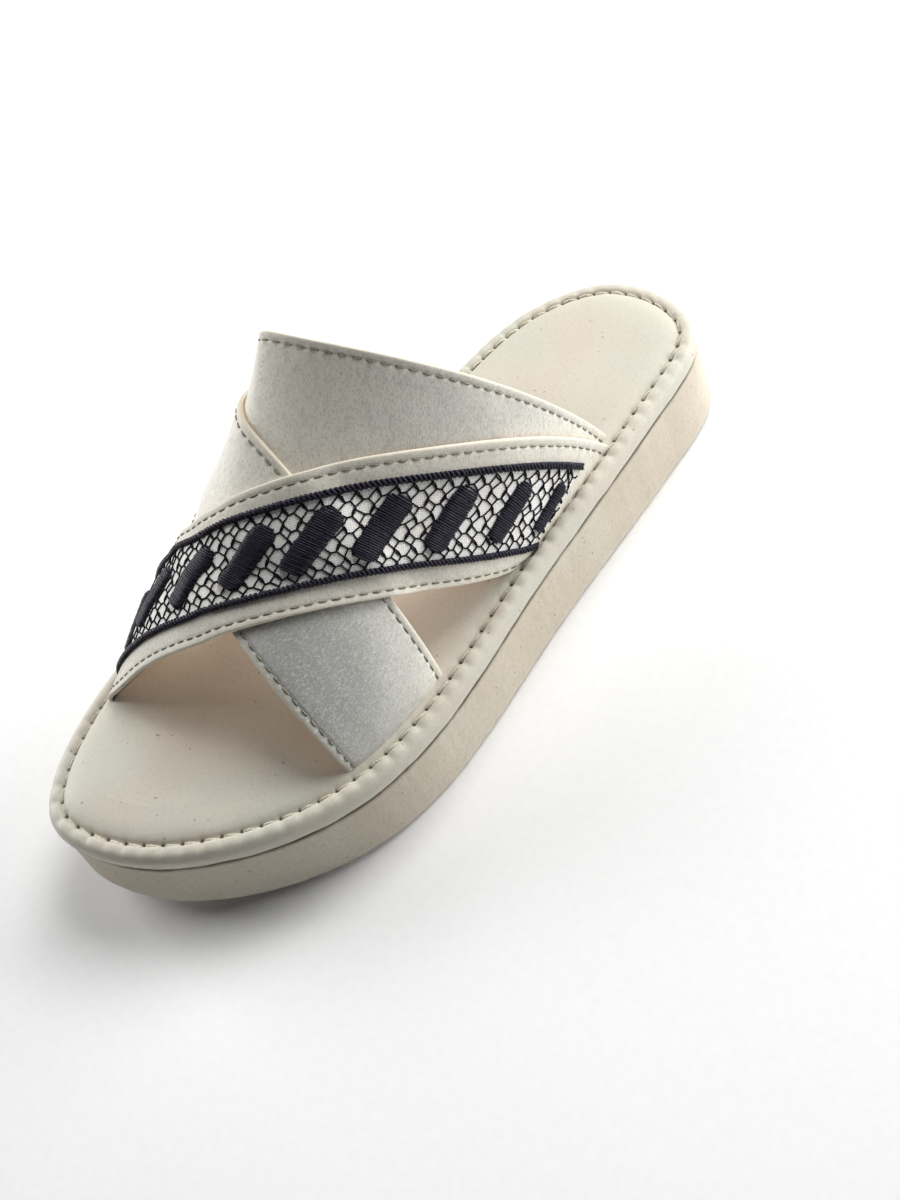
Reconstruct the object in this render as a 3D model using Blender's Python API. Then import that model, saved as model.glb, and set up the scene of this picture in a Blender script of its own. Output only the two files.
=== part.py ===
"""Cross-strap slide sandal, left foot: outsole block, wrapped footbed and strap upper.

X points to the wearer's right (the inner side of a left foot), Y from heel to toe, Z up.
The outsole stands on Z = 0, and the origin lies under the middle of the sandal's length and
width. The tables count distances from the heel end and from the footbed's own centre line.
"""
import math

import bpy
import numpy as np

MM = 0.001

# ---- driving sizes, millimetres ----
LENGTH = 280.0              # footbed seam, heel end to toe end
ORIGIN_FROM_HEEL = 140.0    # the origin lies under the middle of the length
ORIGIN_FROM_LINE = -4.6     # and under the middle of the width, toward the outer side
FOOTBED_RISE = 7.9          # footbed seam up to its stitched line
TOE_SPRING = 9.6            # lift of the sole under the toe end
TOE_SPRING_FROM = 0.62      # share of the length where the toe starts to lift
HEEL_LIFT = 5.0             # lift of the sole under the heel end
HEEL_LIFT_TO = 0.12         # share of the length where the heel lift ends
PIECE_GAP = 0.3             # clearance between neighbouring pieces
STRAP_INSET = 10.0          # last edge inside the footbed seam, where straps go down
STRAP_WALL = 2.2            # thickness of one strap
SLOT_CLEARANCE = 0.3        # air outside a strap end in the footbed
SLOT_ENDS = 2.6             # air beside it, where the strap's edges slant as they leave
SLOT_LEAN = 1.1             # air inside it, where the strap leans in over the padding
LAYER_STEP = 0.35           # how far each strap's inner face stands outside the one below
EDGE_BLEND = 12.0           # distance over which a strap climbs onto the one below

RING_STEPS = 36             # steps along each half of a sole ring
RUNG_STEPS = 10             # steps across the foot bed
ARCH_STEPS = 40             # steps round a strap, outer side to inner side
WIDTH_STEPS = 8             # steps across a strap's width

# Sole outline at the footbed seam: from the heel, edge on the outer side, on the inner side.
OUTLINE_HEEL = (0.0, 0.0)
OUTLINE_TOE = (7.2, 280.0)
OUTLINE = (
    # from_heel, outer_x, inner_x
    (3.0, -15.6, 15.8),
    (12.0, -25.2, 28.6),
    (36.0, -31.8, 40.6),
    (72.0, -38.7, 42.0),
    (118.0, -47.4, 41.2),
    (162.0, -57.8, 47.2),
    (200.0, -60.3, 51.6),
    (232.0, -50.8, 45.4),
    (256.0, -35.4, 34.6),
    (272.0, -17.4, 22.6),
)

# Height of the stitched line over the floor along the foot.
STITCH_HEIGHT = (
    # share_of_length, height
    (0.00, 37.3),
    (0.35, 32.9),
    (0.70, 31.1),
    (1.00, 38.3),
)

# Outsole side wall: share of the way up, how far outside the seam outline.
WALL_PROFILE = (
    # share_up, outward
    (0.00, 1.3),
    (0.035, 2.3),
    (0.30, 1.7),
    (0.65, 0.9),
    (0.94, 0.2),
    (1.00, -0.6),
)

# Footbed edge from its lower rim over the rolled edge to the padded middle.
FOOTBED_PROFILE = (
    # inset, height_over_seam
    (1.2, 0.0),
    (0.1, 1.1),
    (-0.4, 3.0),
    (-0.4, 4.9),
    (0.3, 6.6),
    (1.5, 7.9),
    (2.9, 8.4),
    (4.2, 8.2),
    (5.2, 7.5),
    (6.4, 8.0),
    (8.6, 8.7),
    (13.0, 9.3),
)
FOOTBED_CROWN = 0.8         # extra height in the middle of the footbed

# Cross sections of the last under the straps: ridge height over the footbed, place of the ridge
# from the outer edge (share of width), squareness of each side (2 is an ellipse), inner bulge.
LAST_SECTIONS = (
    # from_heel, ridge_height, ridge_share, outer_square, inner_square, inner_bulge
    (50.0, 187.0, 0.90, 2.08, 1.89, 8.4),
    (90.0, 149.0, 0.85, 1.66, 1.77, 6.9),
    (130.0, 95.4, 0.83, 1.46, 1.79, 4.0),
    (170.0, 57.2, 0.68, 1.65, 2.08, 4.7),
    (210.0, 35.0, 0.53, 2.03, 2.15, 1.9),
    (250.0, 3.2, 0.37, 2.30, 2.01, -3.6),
)

# Strap edges laid over the last. Turn runs from the outer side (0) over the top to the inner
# side (1); the other columns are distances from the heel end.
BAND_STRAP_EDGES = (
    # turn, rear_edge, front_edge
    (0.0, 62.7, 116.5),
    (0.2, 117.9, 161.1),
    (0.4, 157.7, 198.3),
    (0.6, 179.9, 221.0),
    (0.8, 192.8, 235.0),
    (1.0, 201.2, 240.5),
)
PLAIN_STRAP_EDGES = (
    (0.0, 159.6, 201.8),
    (0.2, 157.4, 202.6),
    (0.4, 153.5, 199.0),
    (0.6, 147.9, 189.7),
    (0.8, 124.6, 171.0),
    (1.0, 70.5, 136.9),
)
INSTEP_STRAP_EDGES = (
    (0.0, 59.5, 108.0),
    (0.2, 100.6, 146.5),
    (0.4, 127.4, 172.0),
    (0.6, 131.5, 174.0),
    (0.8, 115.0, 156.0),
    (1.0, 75.0, 120.0),
)


# ---- small numeric helpers ----
def column(table, index):
    """One named column of a table as an array."""
    return np.array([row[index] for row in table], float)


def smooth_value(stations, values, at):
    """Natural cubic through a few stations, held straight past its ends."""
    x = np.asarray(stations, float)
    y = np.asarray(values, float)
    n = len(x)
    h = np.diff(x)
    system = np.eye(n)
    right = np.zeros(n)
    for i in range(1, n - 1):
        system[i, i - 1] = h[i - 1]
        system[i, i] = 2.0 * (h[i - 1] + h[i])
        system[i, i + 1] = h[i]
        right[i] = 6.0 * ((y[i + 1] - y[i]) / h[i] - (y[i] - y[i - 1]) / h[i - 1])
    bend = np.linalg.solve(system, right)
    at = np.clip(np.asarray(at, float), x[0], x[-1])
    i = np.clip(np.searchsorted(x, at) - 1, 0, n - 2)
    a = (x[i + 1] - at) / h[i]
    b = 1.0 - a
    curve = ((a ** 3 - a) * bend[i] + (b ** 3 - b) * bend[i + 1]) * h[i] ** 2 / 6.0
    return a * y[i] + b * y[i + 1] + curve


def closed_curve(points, breaks, steps):
    """Closed cubic through points, sampled with the same steps between consecutive breaks."""
    p = np.vstack([points, points[:1]])
    t = np.concatenate([[0.0], np.cumsum(np.sqrt(np.linalg.norm(np.diff(p, axis=0), axis=1)))])
    h = np.diff(t)
    n = len(points)
    system = np.zeros((n, n))
    right = np.zeros((n, 2))
    for i in range(n):
        before = h[i - 1]
        after = h[i]
        system[i, (i - 1) % n] += before
        system[i, i] += 2.0 * (before + after)
        system[i, (i + 1) % n] += after
        slope_after = (p[i + 1] - p[i]) / after
        slope_before = (p[i] - points[i - 1]) / before
        right[i] = 6.0 * (slope_after - slope_before)
    bend = np.linalg.solve(system, right)
    bend = np.vstack([bend, bend[:1]])
    samples = []
    for start, end in zip(breaks[:-1], breaks[1:]):
        samples.append(np.linspace(t[start], t[end], steps, endpoint=False))
    at = np.concatenate(samples)
    i = np.clip(np.searchsorted(t, at, side="right") - 1, 0, n - 1)
    a = ((t[i + 1] - at) / h[i])[:, None]
    b = 1.0 - a
    curve = ((a ** 3 - a) * bend[i] + (b ** 3 - b) * bend[i + 1]) * (h[i] ** 2)[:, None] / 6.0
    return a * p[i] + b * p[i + 1] + curve


# ---- sole outline ----
def seam_outline():
    """Seam outline ring: heel, outer side, toe, inner side back to the heel."""
    outer = [(row[1], row[0]) for row in OUTLINE]
    inner = [(row[2], row[0]) for row in reversed(OUTLINE)]
    points = np.array([OUTLINE_HEEL] + outer + [OUTLINE_TOE] + inner)
    toe_index = len(outer) + 1
    return closed_curve(points, (0, toe_index, len(points)), RING_STEPS)


def outward_directions(ring):
    """Unit directions pointing out of a ring, square to it."""
    along = np.roll(ring, -1, axis=0) - np.roll(ring, 1, axis=0)
    out = np.stack([-along[:, 1], along[:, 0]], axis=1)
    out /= np.linalg.norm(out, axis=1)[:, None]
    centre = ring.mean(axis=0)
    if ((ring - centre) * out).sum() < 0:
        out = -out
    return out


SEAM = seam_outline()
SEAM_OUT = outward_directions(SEAM)


def stitch_height(from_heel):
    """Height of the footbed's stitched line over the floor."""
    share = np.clip(np.asarray(from_heel, float) / LENGTH, 0.0, 1.0)
    return smooth_value(column(STITCH_HEIGHT, 0), column(STITCH_HEIGHT, 1), share)


def seam_height(from_heel):
    """Height of the seam between the footbed and the outsole."""
    return stitch_height(from_heel) - FOOTBED_RISE


def sole_lift(from_heel):
    """Height of the outsole's underside: flat, then toe spring and a lifted heel end."""
    share = np.clip(np.asarray(from_heel, float) / LENGTH, 0.0, 1.0)
    toe = np.clip((share - TOE_SPRING_FROM) / (1.0 - TOE_SPRING_FROM), 0.0, 1.0) ** 2
    heel = np.clip((HEEL_LIFT_TO - share) / HEEL_LIFT_TO, 0.0, 1.0) ** 2
    return TOE_SPRING * toe + HEEL_LIFT * heel


def inset_ring(inset):
    """The seam outline moved inward; a negative inset moves it outward."""
    return SEAM - SEAM_OUT * inset


# ---- mesh helpers ----
def add_object(name, vertices, faces, colour, roughness):
    """Closed smooth-shaded body with its own material."""
    mesh = bpy.data.meshes.new(name)
    placed = [
        ((x - ORIGIN_FROM_LINE) * MM, (y - ORIGIN_FROM_HEEL) * MM, z * MM) for x, y, z in vertices
    ]
    mesh.from_pydata(placed, [], faces)
    mesh.update()
    material = bpy.data.materials.new(name + "_finish")
    material.use_nodes = True
    shader = material.node_tree.nodes["Principled BSDF"]
    shader.inputs["Base Color"].default_value = (*colour, 1.0)
    shader.inputs["Roughness"].default_value = roughness
    mesh.materials.append(material)
    mesh.polygons.foreach_set("use_smooth", [True] * len(mesh.polygons))
    body = bpy.data.objects.new(name, mesh)
    bpy.context.scene.collection.objects.link(body)
    return body


def ring_faces(lower, upper, count):
    """Quads between two stacked rings given by their first vertex numbers."""
    faces = []
    for i in range(count):
        j = (i + 1) % count
        faces.append((lower + i, lower + j, upper + j, upper + i))
    return faces


def ladder_cap(vertices, faces, first, count, height_at, upward):
    """Close a ring by rungs across the foot; height_at gives each inner vertex its height."""
    half = count // 2
    rows = [[first]]
    for i in range(1, half):
        left = vertices[first + i]
        right = vertices[first + count - i]
        row = [first + i]
        for k in range(1, RUNG_STEPS):
            share = k / RUNG_STEPS
            x = left[0] + (right[0] - left[0]) * share
            y = left[1] + (right[1] - left[1]) * share
            edge = left[2] + (right[2] - left[2]) * share
            row.append(len(vertices))
            vertices.append((x, y, height_at(y, share, edge, i / half)))
        row.append(first + count - i)
        rows.append(row)
    rows.append([first + half])
    for a, b in zip(rows[:-1], rows[1:]):
        if len(a) == 1:
            new = [(a[0], b[k + 1], b[k]) for k in range(len(b) - 1)]
        elif len(b) == 1:
            new = [(a[k], a[k + 1], b[0]) for k in range(len(a) - 1)]
        else:
            new = [(a[k], a[k + 1], b[k + 1], b[k]) for k in range(len(a) - 1)]
        faces.extend([tuple(reversed(f)) for f in new] if not upward else new)


def stack_body(name, rings, cap_bottom, cap_top, colour, roughness):
    """Body from stacked rings, closed by a ladder cap below and above."""
    count = len(rings[0])
    vertices = [tuple(p) for ring in rings for p in ring]
    faces = []
    for level in range(len(rings) - 1):
        faces += ring_faces(level * count, (level + 1) * count, count)
    ladder_cap(vertices, faces, 0, count, cap_bottom, False)
    ladder_cap(vertices, faces, (len(rings) - 1) * count, count, cap_top, True)
    return add_object(name, vertices, faces, colour, roughness)


def fix_facing(body):
    """Turn every face of a closed body outward."""
    bpy.ops.object.select_all(action="DESELECT")
    body.select_set(True)
    bpy.context.view_layer.objects.active = body
    bpy.ops.object.mode_set(mode="EDIT")
    bpy.ops.mesh.select_all(action="SELECT")
    bpy.ops.mesh.normals_make_consistent(inside=False)
    bpy.ops.object.mode_set(mode="OBJECT")


# ---- outsole ----
def build_outsole():
    """One thick moulded block whose wall flares slightly toward the floor."""
    rings = []
    for share, outward in WALL_PROFILE:
        ring = inset_ring(-outward)
        low = sole_lift(SEAM[:, 1])
        high = seam_height(SEAM[:, 1]) - PIECE_GAP / 2.0
        rings.append(np.column_stack([ring, low + (high - low) * share]))
    return stack_body(
        "outsole",
        rings,
        lambda y, share, edge, along: float(sole_lift(y)),
        lambda y, share, edge, along: float(seam_height(y)) - PIECE_GAP / 2.0,
        (0.56, 0.54, 0.44),
        0.75,
    )


# ---- footbed ----
def build_insole():
    """Wrapped footbed board with a rolled edge, a stitched trough and a padded middle."""
    base = seam_height(SEAM[:, 1]) + PIECE_GAP / 2.0
    rings = []
    for inset, height in FOOTBED_PROFILE:
        rings.append(np.column_stack([inset_ring(inset), base + height]))

    def top(y, share, edge, along):
        across = 4.0 * share * (1.0 - share)
        ends = min(1.0, 6.0 * along, 6.0 * (1.0 - along))
        return edge + FOOTBED_CROWN * math.sqrt(across) * ends

    return stack_body(
        "insole",
        rings,
        lambda y, share, edge, along: float(seam_height(y)) + PIECE_GAP / 2.0,
        top,
        (0.62, 0.60, 0.50),
        0.6,
    )


# ---- last under the straps ----
def strap_line(side):
    """Inset outline on one side as (from_heel, x) arrays sorted from heel to toe."""
    ring = inset_ring(STRAP_INSET)
    half = len(ring) // 2
    part = ring[2:half - 1] if side == "outer" else ring[half + 2:-1]
    order = np.argsort(part[:, 1])
    return part[order, 1], part[order, 0]


OUTER_LINE = strap_line("outer")
INNER_LINE = strap_line("inner")


def last_point(from_heel, turn):
    """Point on the last; turn 0 is the outer edge of the footbed, 1 the inner edge."""
    y = float(from_heel)
    stations = column(LAST_SECTIONS, 0)
    ridge, share, outer_square, inner_square, bulge = (
        float(smooth_value(stations, column(LAST_SECTIONS, k), y)) for k in range(1, 6)
    )
    outer_x = float(np.interp(y, *OUTER_LINE))
    inner_x = float(np.interp(y, *INNER_LINE))
    angle = math.pi * min(max(turn, 0.0), 1.0)
    cosine = math.cos(angle)
    sine = max(math.sin(angle), 0.0)
    if cosine > 0.0:
        across = share - share * cosine ** (2.0 / outer_square)
        up = sine ** (2.0 / outer_square)
        extra = 0.0
    else:
        across = share + (1.0 - share) * (-cosine) ** (2.0 / inner_square)
        up = sine ** (2.0 / inner_square)
        extra = bulge * math.sin(2.0 * angle) ** 2
    x = outer_x + (inner_x - outer_x) * across + extra
    z = float(stitch_height(y)) + ridge * up
    return np.array([x, y, z])


def last_outward(from_heel, turn):
    """Direction out of the last at a point."""
    step = 0.004
    low = min(max(turn - step, 0.001), 1.0 - 3.0 * step)
    high = low + 2.0 * step
    round_way = last_point(from_heel, high) - last_point(from_heel, low)
    long_way = last_point(from_heel + 0.5, turn) - last_point(from_heel - 0.5, turn)
    out = np.cross(round_way, long_way)
    length = np.linalg.norm(out)
    out = out / length
    middle = last_point(from_heel, 0.5) * 0.5 + last_point(from_heel, 0.0) * 0.25
    middle = middle + last_point(from_heel, 1.0) * 0.25
    if np.dot(out, last_point(from_heel, turn) - middle) < 0.0:
        out = -out
    if turn < 0.03 or turn > 0.97:
        out[2] = 0.0
        out /= np.linalg.norm(out)
    return out


# ---- straps ----
def edge_at(edges, turn, where):
    """Rear or front edge of a strap at a turn, as a distance from the heel end."""
    index = 1 if where == "rear" else 2
    return float(smooth_value(column(edges, 0), column(edges, index), turn))


def cover(edges, turn, from_heel):
    """How fully a lower strap fills the place under a point: 1 over it, 0 well past its edges."""
    rear = edge_at(edges, turn, "rear")
    front = edge_at(edges, turn, "front")
    inside = min(from_heel - rear, front - from_heel)
    share = min(max((inside + EDGE_BLEND) / EDGE_BLEND, 0.0), 1.0)
    return share * share * (3.0 - 2.0 * share)


def arch_turns():
    """Turns round a strap: buried rows at both ends, then even steps over the last."""
    rows = []
    for k in range(ARCH_STEPS + 1):
        rows.append((k / ARCH_STEPS, 0.0))
    outer_tail = [(0.0, 1.0), (0.0, 0.45)]
    inner_tail = [(1.0, 0.45), (1.0, 1.0)]
    return outer_tail + rows + inner_tail


def strap_body(name, edges, inner_lift, outer_lift):
    """One strap as a closed band; its ends run down through the footbed."""
    turns = arch_turns()
    sheets = []
    for layer in (0, 1):
        grid = []
        for turn, buried in turns:
            rear = edge_at(edges, turn, "rear")
            front = edge_at(edges, turn, "front")
            row = []
            for k in range(WIDTH_STEPS + 1):
                y = rear + (front - rear) * k / WIDTH_STEPS
                lift = outer_lift(turn, y) if layer else inner_lift
                point = last_point(y, turn) + last_outward(y, turn) * lift
                floor = float(seam_height(y)) + PIECE_GAP + inner_lift
                point[2] += (floor - point[2]) * buried
                row.append(point)
            grid.append(row)
        sheets.append(grid)
    rows = len(turns)
    columns = WIDTH_STEPS + 1
    vertices = [tuple(p) for grid in sheets for row in grid for p in row]
    size = rows * columns

    def at(layer, r, c):
        return layer * size + r * columns + c

    faces = []
    for r in range(rows - 1):
        for c in range(columns - 1):
            faces.append((at(1, r, c), at(1, r + 1, c), at(1, r + 1, c + 1), at(1, r, c + 1)))
            faces.append((at(0, r, c), at(0, r, c + 1), at(0, r + 1, c + 1), at(0, r + 1, c)))
        for c in (0, columns - 1):
            quad = (at(0, r, c), at(0, r + 1, c), at(1, r + 1, c), at(1, r, c))
            faces.append(quad if c == 0 else tuple(reversed(quad)))
    for c in range(columns - 1):
        for r in (0, rows - 1):
            quad = (at(0, r, c), at(1, r, c), at(1, r, c + 1), at(0, r, c + 1))
            faces.append(quad if r == 0 else tuple(reversed(quad)))
    body = add_object(name, vertices, faces, (0.60, 0.60, 0.55), 0.8)
    fix_facing(body)
    return body


def instep_outer(turn, from_heel):
    """Outer face of the instep strap, which lies straight on the last."""
    return STRAP_WALL


def plain_outer(turn, from_heel):
    """Outer face of the plain strap, which climbs over the instep strap."""
    climb = STRAP_WALL - LAYER_STEP
    return LAYER_STEP + STRAP_WALL + climb * cover(INSTEP_STRAP_EDGES, turn, from_heel)


def band_outer(turn, from_heel):
    """Outer face of the band strap, which lies on top of both others."""
    climb = STRAP_WALL - LAYER_STEP
    lift = 2.0 * LAYER_STEP + STRAP_WALL
    lift += climb * cover(INSTEP_STRAP_EDGES, turn, from_heel)
    return lift + climb * cover(PLAIN_STRAP_EDGES, turn, from_heel)


def boolean(target, tool, operation):
    """Exact boolean; the tool object is removed afterwards."""
    modifier = target.modifiers.new(operation.lower(), "BOOLEAN")
    modifier.operation = operation
    modifier.solver = "EXACT"
    modifier.object = tool
    bpy.ops.object.select_all(action="DESELECT")
    target.select_set(True)
    bpy.context.view_layer.objects.active = target
    bpy.ops.object.modifier_apply(modifier=modifier.name)
    bpy.data.objects.remove(tool, do_unlink=True)


def build_upper():
    """Three straps, joined where they cross."""
    upper = strap_body("upper", INSTEP_STRAP_EDGES, 0.0, instep_outer)
    plain = strap_body("plain_strap", PLAIN_STRAP_EDGES, LAYER_STEP, plain_outer)
    boolean(upper, plain, "UNION")
    band = strap_body("band_strap", BAND_STRAP_EDGES, 2.0 * LAYER_STEP, band_outer)
    boolean(upper, band, "UNION")
    return upper


# ---- slots in the footbed ----
def slot_cutter(name, edges, side, lift_low, lift_high):
    """Upright curved block round one strap end."""
    turn = 0.0 if side == "outer" else 1.0
    rear = edge_at(edges, turn, "rear") - SLOT_ENDS
    front = edge_at(edges, turn, "front") + SLOT_ENDS
    steps = 12
    vertices = []
    for k in range(steps + 1):
        y = rear + (front - rear) * k / steps
        foot = last_point(y, turn)
        out = last_outward(y, turn)
        for lift in (lift_low - SLOT_LEAN, lift_high + SLOT_CLEARANCE):
            for height in (-14.0, 6.0):
                point = foot + out * lift
                vertices.append((point[0], point[1], foot[2] + height))
    faces = []
    for k in range(steps):
        a = 4 * k
        b = a + 4
        faces += [(a, a + 1, b + 1, b), (a + 3, a + 2, b + 2, b + 3)]
        faces += [(a + 1, a + 3, b + 3, b + 1), (a + 2, a, b, b + 2)]
    last = 4 * steps
    faces += [(0, 2, 3, 1), (last + 1, last + 3, last + 2, last)]
    body = add_object(name, vertices, faces, (0.5, 0.5, 0.5), 0.5)
    fix_facing(body)
    return body


def build():
    """All pieces of the sandal."""
    for item in list(bpy.data.objects):
        bpy.data.objects.remove(item, do_unlink=True)
    outsole = build_outsole()
    fix_facing(outsole)
    insole = build_insole()
    fix_facing(insole)
    single = STRAP_WALL + 2.0 * LAYER_STEP
    rear_pile = 2.0 * STRAP_WALL + LAYER_STEP
    slots = (
        ("slot_rear_outer", (INSTEP_STRAP_EDGES, BAND_STRAP_EDGES), "outer", rear_pile),
        ("slot_front_outer", (PLAIN_STRAP_EDGES,), "outer", single),
        ("slot_rear_inner", (PLAIN_STRAP_EDGES, INSTEP_STRAP_EDGES), "inner", rear_pile),
        ("slot_front_inner", (BAND_STRAP_EDGES,), "inner", single),
    )
    for name, straps, side, pile in slots:
        turn = 0.0 if side == "outer" else 1.0
        rear = min(edge_at(edges, turn, "rear") for edges in straps)
        front = max(edge_at(edges, turn, "front") for edges in straps)
        span = ((0.0, rear, front), (1.0, rear, front))
        boolean(insole, slot_cutter(name, span, side, 0.0, pile), "DIFFERENCE")
    build_upper()


build()
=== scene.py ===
"""Looks of a left cross-strap slide sandal: foam sole, stitched leather footbed, nubuck straps
and an embroidered band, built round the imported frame.

Sizes are millimetres in the foot's own frame until in_frame() turns them to metres in the row's
frame: x points from the footbed's centre line to the inner side, y from the heel end to the toe,
z up from the floor.
"""

import math

import bpy
import numpy as np
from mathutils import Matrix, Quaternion, Vector


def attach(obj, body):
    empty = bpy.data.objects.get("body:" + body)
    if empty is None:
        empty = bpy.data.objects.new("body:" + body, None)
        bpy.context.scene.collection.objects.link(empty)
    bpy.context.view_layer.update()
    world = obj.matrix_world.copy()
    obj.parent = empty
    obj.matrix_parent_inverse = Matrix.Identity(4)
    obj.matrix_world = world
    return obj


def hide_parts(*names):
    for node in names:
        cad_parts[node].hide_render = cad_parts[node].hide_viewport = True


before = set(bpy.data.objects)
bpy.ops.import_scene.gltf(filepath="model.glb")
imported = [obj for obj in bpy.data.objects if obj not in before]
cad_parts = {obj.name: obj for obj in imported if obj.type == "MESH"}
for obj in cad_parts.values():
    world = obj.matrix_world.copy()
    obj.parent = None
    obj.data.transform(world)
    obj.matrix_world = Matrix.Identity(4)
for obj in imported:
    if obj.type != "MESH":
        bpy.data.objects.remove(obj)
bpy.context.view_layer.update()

MM = 0.001

# ---- sizes shared with the frame's source, millimetres ----
LENGTH = 280.0
ORIGIN_FROM_HEEL = 140.0
ORIGIN_FROM_LINE = -4.6
FOOTBED_RISE = 7.9
TOE_SPRING = 9.6
TOE_SPRING_FROM = 0.62
HEEL_LIFT = 5.0
HEEL_LIFT_TO = 0.12
PIECE_GAP = 0.3
STRAP_INSET = 10.0
STRAP_WALL = 2.2
LAYER_STEP = 0.35
EDGE_BLEND = 12.0
OUTLINE_STEPS = 36  # steps along each half of the outline that the last's edges follow

OUTLINE_HEEL = (0.0, 0.0)
OUTLINE_TOE = (7.2, 280.0)
OUTLINE = (
    # from_heel, outer_x, inner_x
    (3.0, -15.6, 15.8),
    (12.0, -25.2, 28.6),
    (36.0, -31.8, 40.6),
    (72.0, -38.7, 42.0),
    (118.0, -47.4, 41.2),
    (162.0, -57.8, 47.2),
    (200.0, -60.3, 51.6),
    (232.0, -50.8, 45.4),
    (256.0, -35.4, 34.6),
    (272.0, -17.4, 22.6),
)
STITCH_HEIGHT = (
    # share_of_length, height
    (0.00, 37.3),
    (0.35, 32.9),
    (0.70, 31.1),
    (1.00, 38.3),
)
LAST_SECTIONS = (
    # from_heel, ridge_height, ridge_share, outer_square, inner_square, inner_bulge
    (50.0, 187.0, 0.90, 2.08, 1.89, 8.4),
    (90.0, 149.0, 0.85, 1.66, 1.77, 6.9),
    (130.0, 95.4, 0.83, 1.46, 1.79, 4.0),
    (170.0, 57.2, 0.68, 1.65, 2.08, 4.7),
    (210.0, 35.0, 0.53, 2.03, 2.15, 1.9),
    (250.0, 3.2, 0.37, 2.30, 2.01, -3.6),
)
BAND_STRAP_EDGES = (
    # turn, rear_edge, front_edge
    (0.0, 62.7, 116.5),
    (0.2, 117.9, 161.1),
    (0.4, 157.7, 198.3),
    (0.6, 179.9, 221.0),
    (0.8, 192.8, 235.0),
    (1.0, 201.2, 240.5),
)
PLAIN_STRAP_EDGES = (
    (0.0, 159.6, 201.8),
    (0.2, 157.4, 202.6),
    (0.4, 153.5, 199.0),
    (0.6, 147.9, 189.7),
    (0.8, 124.6, 171.0),
    (1.0, 70.5, 136.9),
)
INSTEP_STRAP_EDGES = (
    (0.0, 59.5, 108.0),
    (0.2, 100.6, 146.5),
    (0.4, 127.4, 172.0),
    (0.6, 131.5, 174.0),
    (0.8, 115.0, 156.0),
    (1.0, 75.0, 120.0),
)

# ---- finer sizes of the finished pieces, millimetres ----
TURN_STEP = 0.004  # turns between the points that show which way the last faces
LEVEL_NEAR = 0.06  # turns from its foot over which a strap comes to stand upright
DOUBLED = 0.000002  # metres between vertices that are one and the same
WANDER_KNOTS = 512
SEAM_STEPS = 1500  # points along each half of the outline that rings are respaced from
WALL_STEPS = 300  # points along each half of the foam wall
WALL_RINGS = 60
WALL_HEIGHT = 30.0  # about, to space the wall's rings evenly
WALL_PROFILE = (
    # share_up, outward: the foam block's wall, eased at the floor and drawn in under the footbed
    (0.000, 0.4),
    (0.012, 1.3),
    (0.040, 2.1),
    (0.100, 2.2),
    (0.300, 1.7),
    (0.650, 0.9),
    (0.900, 0.3),
    (0.962, 0.15),
    (0.985, -0.25),
    (1.000, -1.1),
)
FOOTBED_PROFILE = (
    # inset, height_over_seam: rolled edge, stitched trough, padding
    (1.6, 0.0),
    (0.5, 0.35),
    (-0.2, 1.3),
    (-0.5, 2.9),
    (-0.5, 4.8),
    (0.2, 6.7),
    (1.6, 8.1),
    (3.0, 8.4),
    (4.4, 8.0),
    (5.2, 7.2),
    (6.0, 7.7),
    (7.4, 8.5),
    (9.4, 9.0),
    (12.0, 9.25),
    (14.5, 9.3),
    (17.0, 9.3),
)
SKIN_WAVES = (
    # depth, seed, pitch: unevenness of the foam's skin, here over the wall
    (0.12, 11, 9.0),
    (0.07, 12, 2.3),
)
SKIN_AT_FLOOR = 0.3  # share of its unevenness that the skin keeps down at the floor
FLOOR_EDGE_WAVES = ((0.22, 13, 3.1),)
SEAM_EDGE_WAVES = ((0.28, 14, 6.0),)
SOLE_RUNGS = (24, 12)  # rungs across the foam's floor and its roof
EDGE_REACH = 0.05  # share of the wall that an edge's waves take up
PROFILE_STEPS = 2.1  # rings of the footbed for each mm of its profile
FOOTBED_RUNGS = (26, 8)  # rungs across the padded middle and the underside
FOOTBED_CROWN = 0.7
CROWN_WIDTH = 60.0  # the crown is full where the padding is this wide
ROLL_WAVES = ((0.18, 24, 7.0),)
ROLL_REACH = 2.0
PADDING_WAVES = ((0.10, 22, 5.0), (0.08, 23, 13.0))
PADDING_WAVES_TO = 9.0  # inset where the padding turns smooth
GROOVE = (0.45, 0.6)  # depth and half width of the groove under the rim stitches
EASED_FROM = 6.0  # insets deeper than this are evened out more and more
EASED_RATE = 1.1
STITCHES_PER_SIDE = 50  # rim stitches along each half of the footbed
STEPS_PER_STITCH = 12
STITCH_PITCH = 7.0  # length of one rim stitch
RIM_STEPS = STITCHES_PER_SIDE * STEPS_PER_STITCH
TROUGH_INSET = 5.2
TROUGH_HEIGHT = 7.0
RIM_THREAD_RADIUS = 0.42
RIM_STITCH = (-1.4, 1.95, 0.4)  # height at its holes, what its arch adds, arch's squareness
RIM_STITCH_LEAN = (0.35, 0.15)  # slant across the trough, and how far out it sits
RIM_STITCH_LOOSE = (0.12, 31, 1.0)  # depth, seed, pitch of the stitches' unevenness
BETWEEN_HOLES = (0.5, 40.0)  # flat map place of the leather that has no needle hole near it
PUCKER_SEEDS = (21, 25, 26)  # how strong, how slanted and how soft each pucker is
PUCKER_PULL = (0.75, 0.45)  # strength of a pucker: the least, and what wanders
PUCKER_SLANT = 0.12
PUCKER_HALF = (0.95, 0.20)  # half width at the trough, and what each mm away from it adds
ROLL_PULL = (0.42, -0.6, 4.2)  # depth over the roll, where it starts, how far it runs
PAD_PULL = (0.14, 0.24, 13.0, 7.5)  # least depth over the padding, what wanders, end, reach
PAD_FADE = 1.6
HOLE = (0.45, 0.5, 0.6)  # depth of a needle hole, half along the trough, half across
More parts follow.
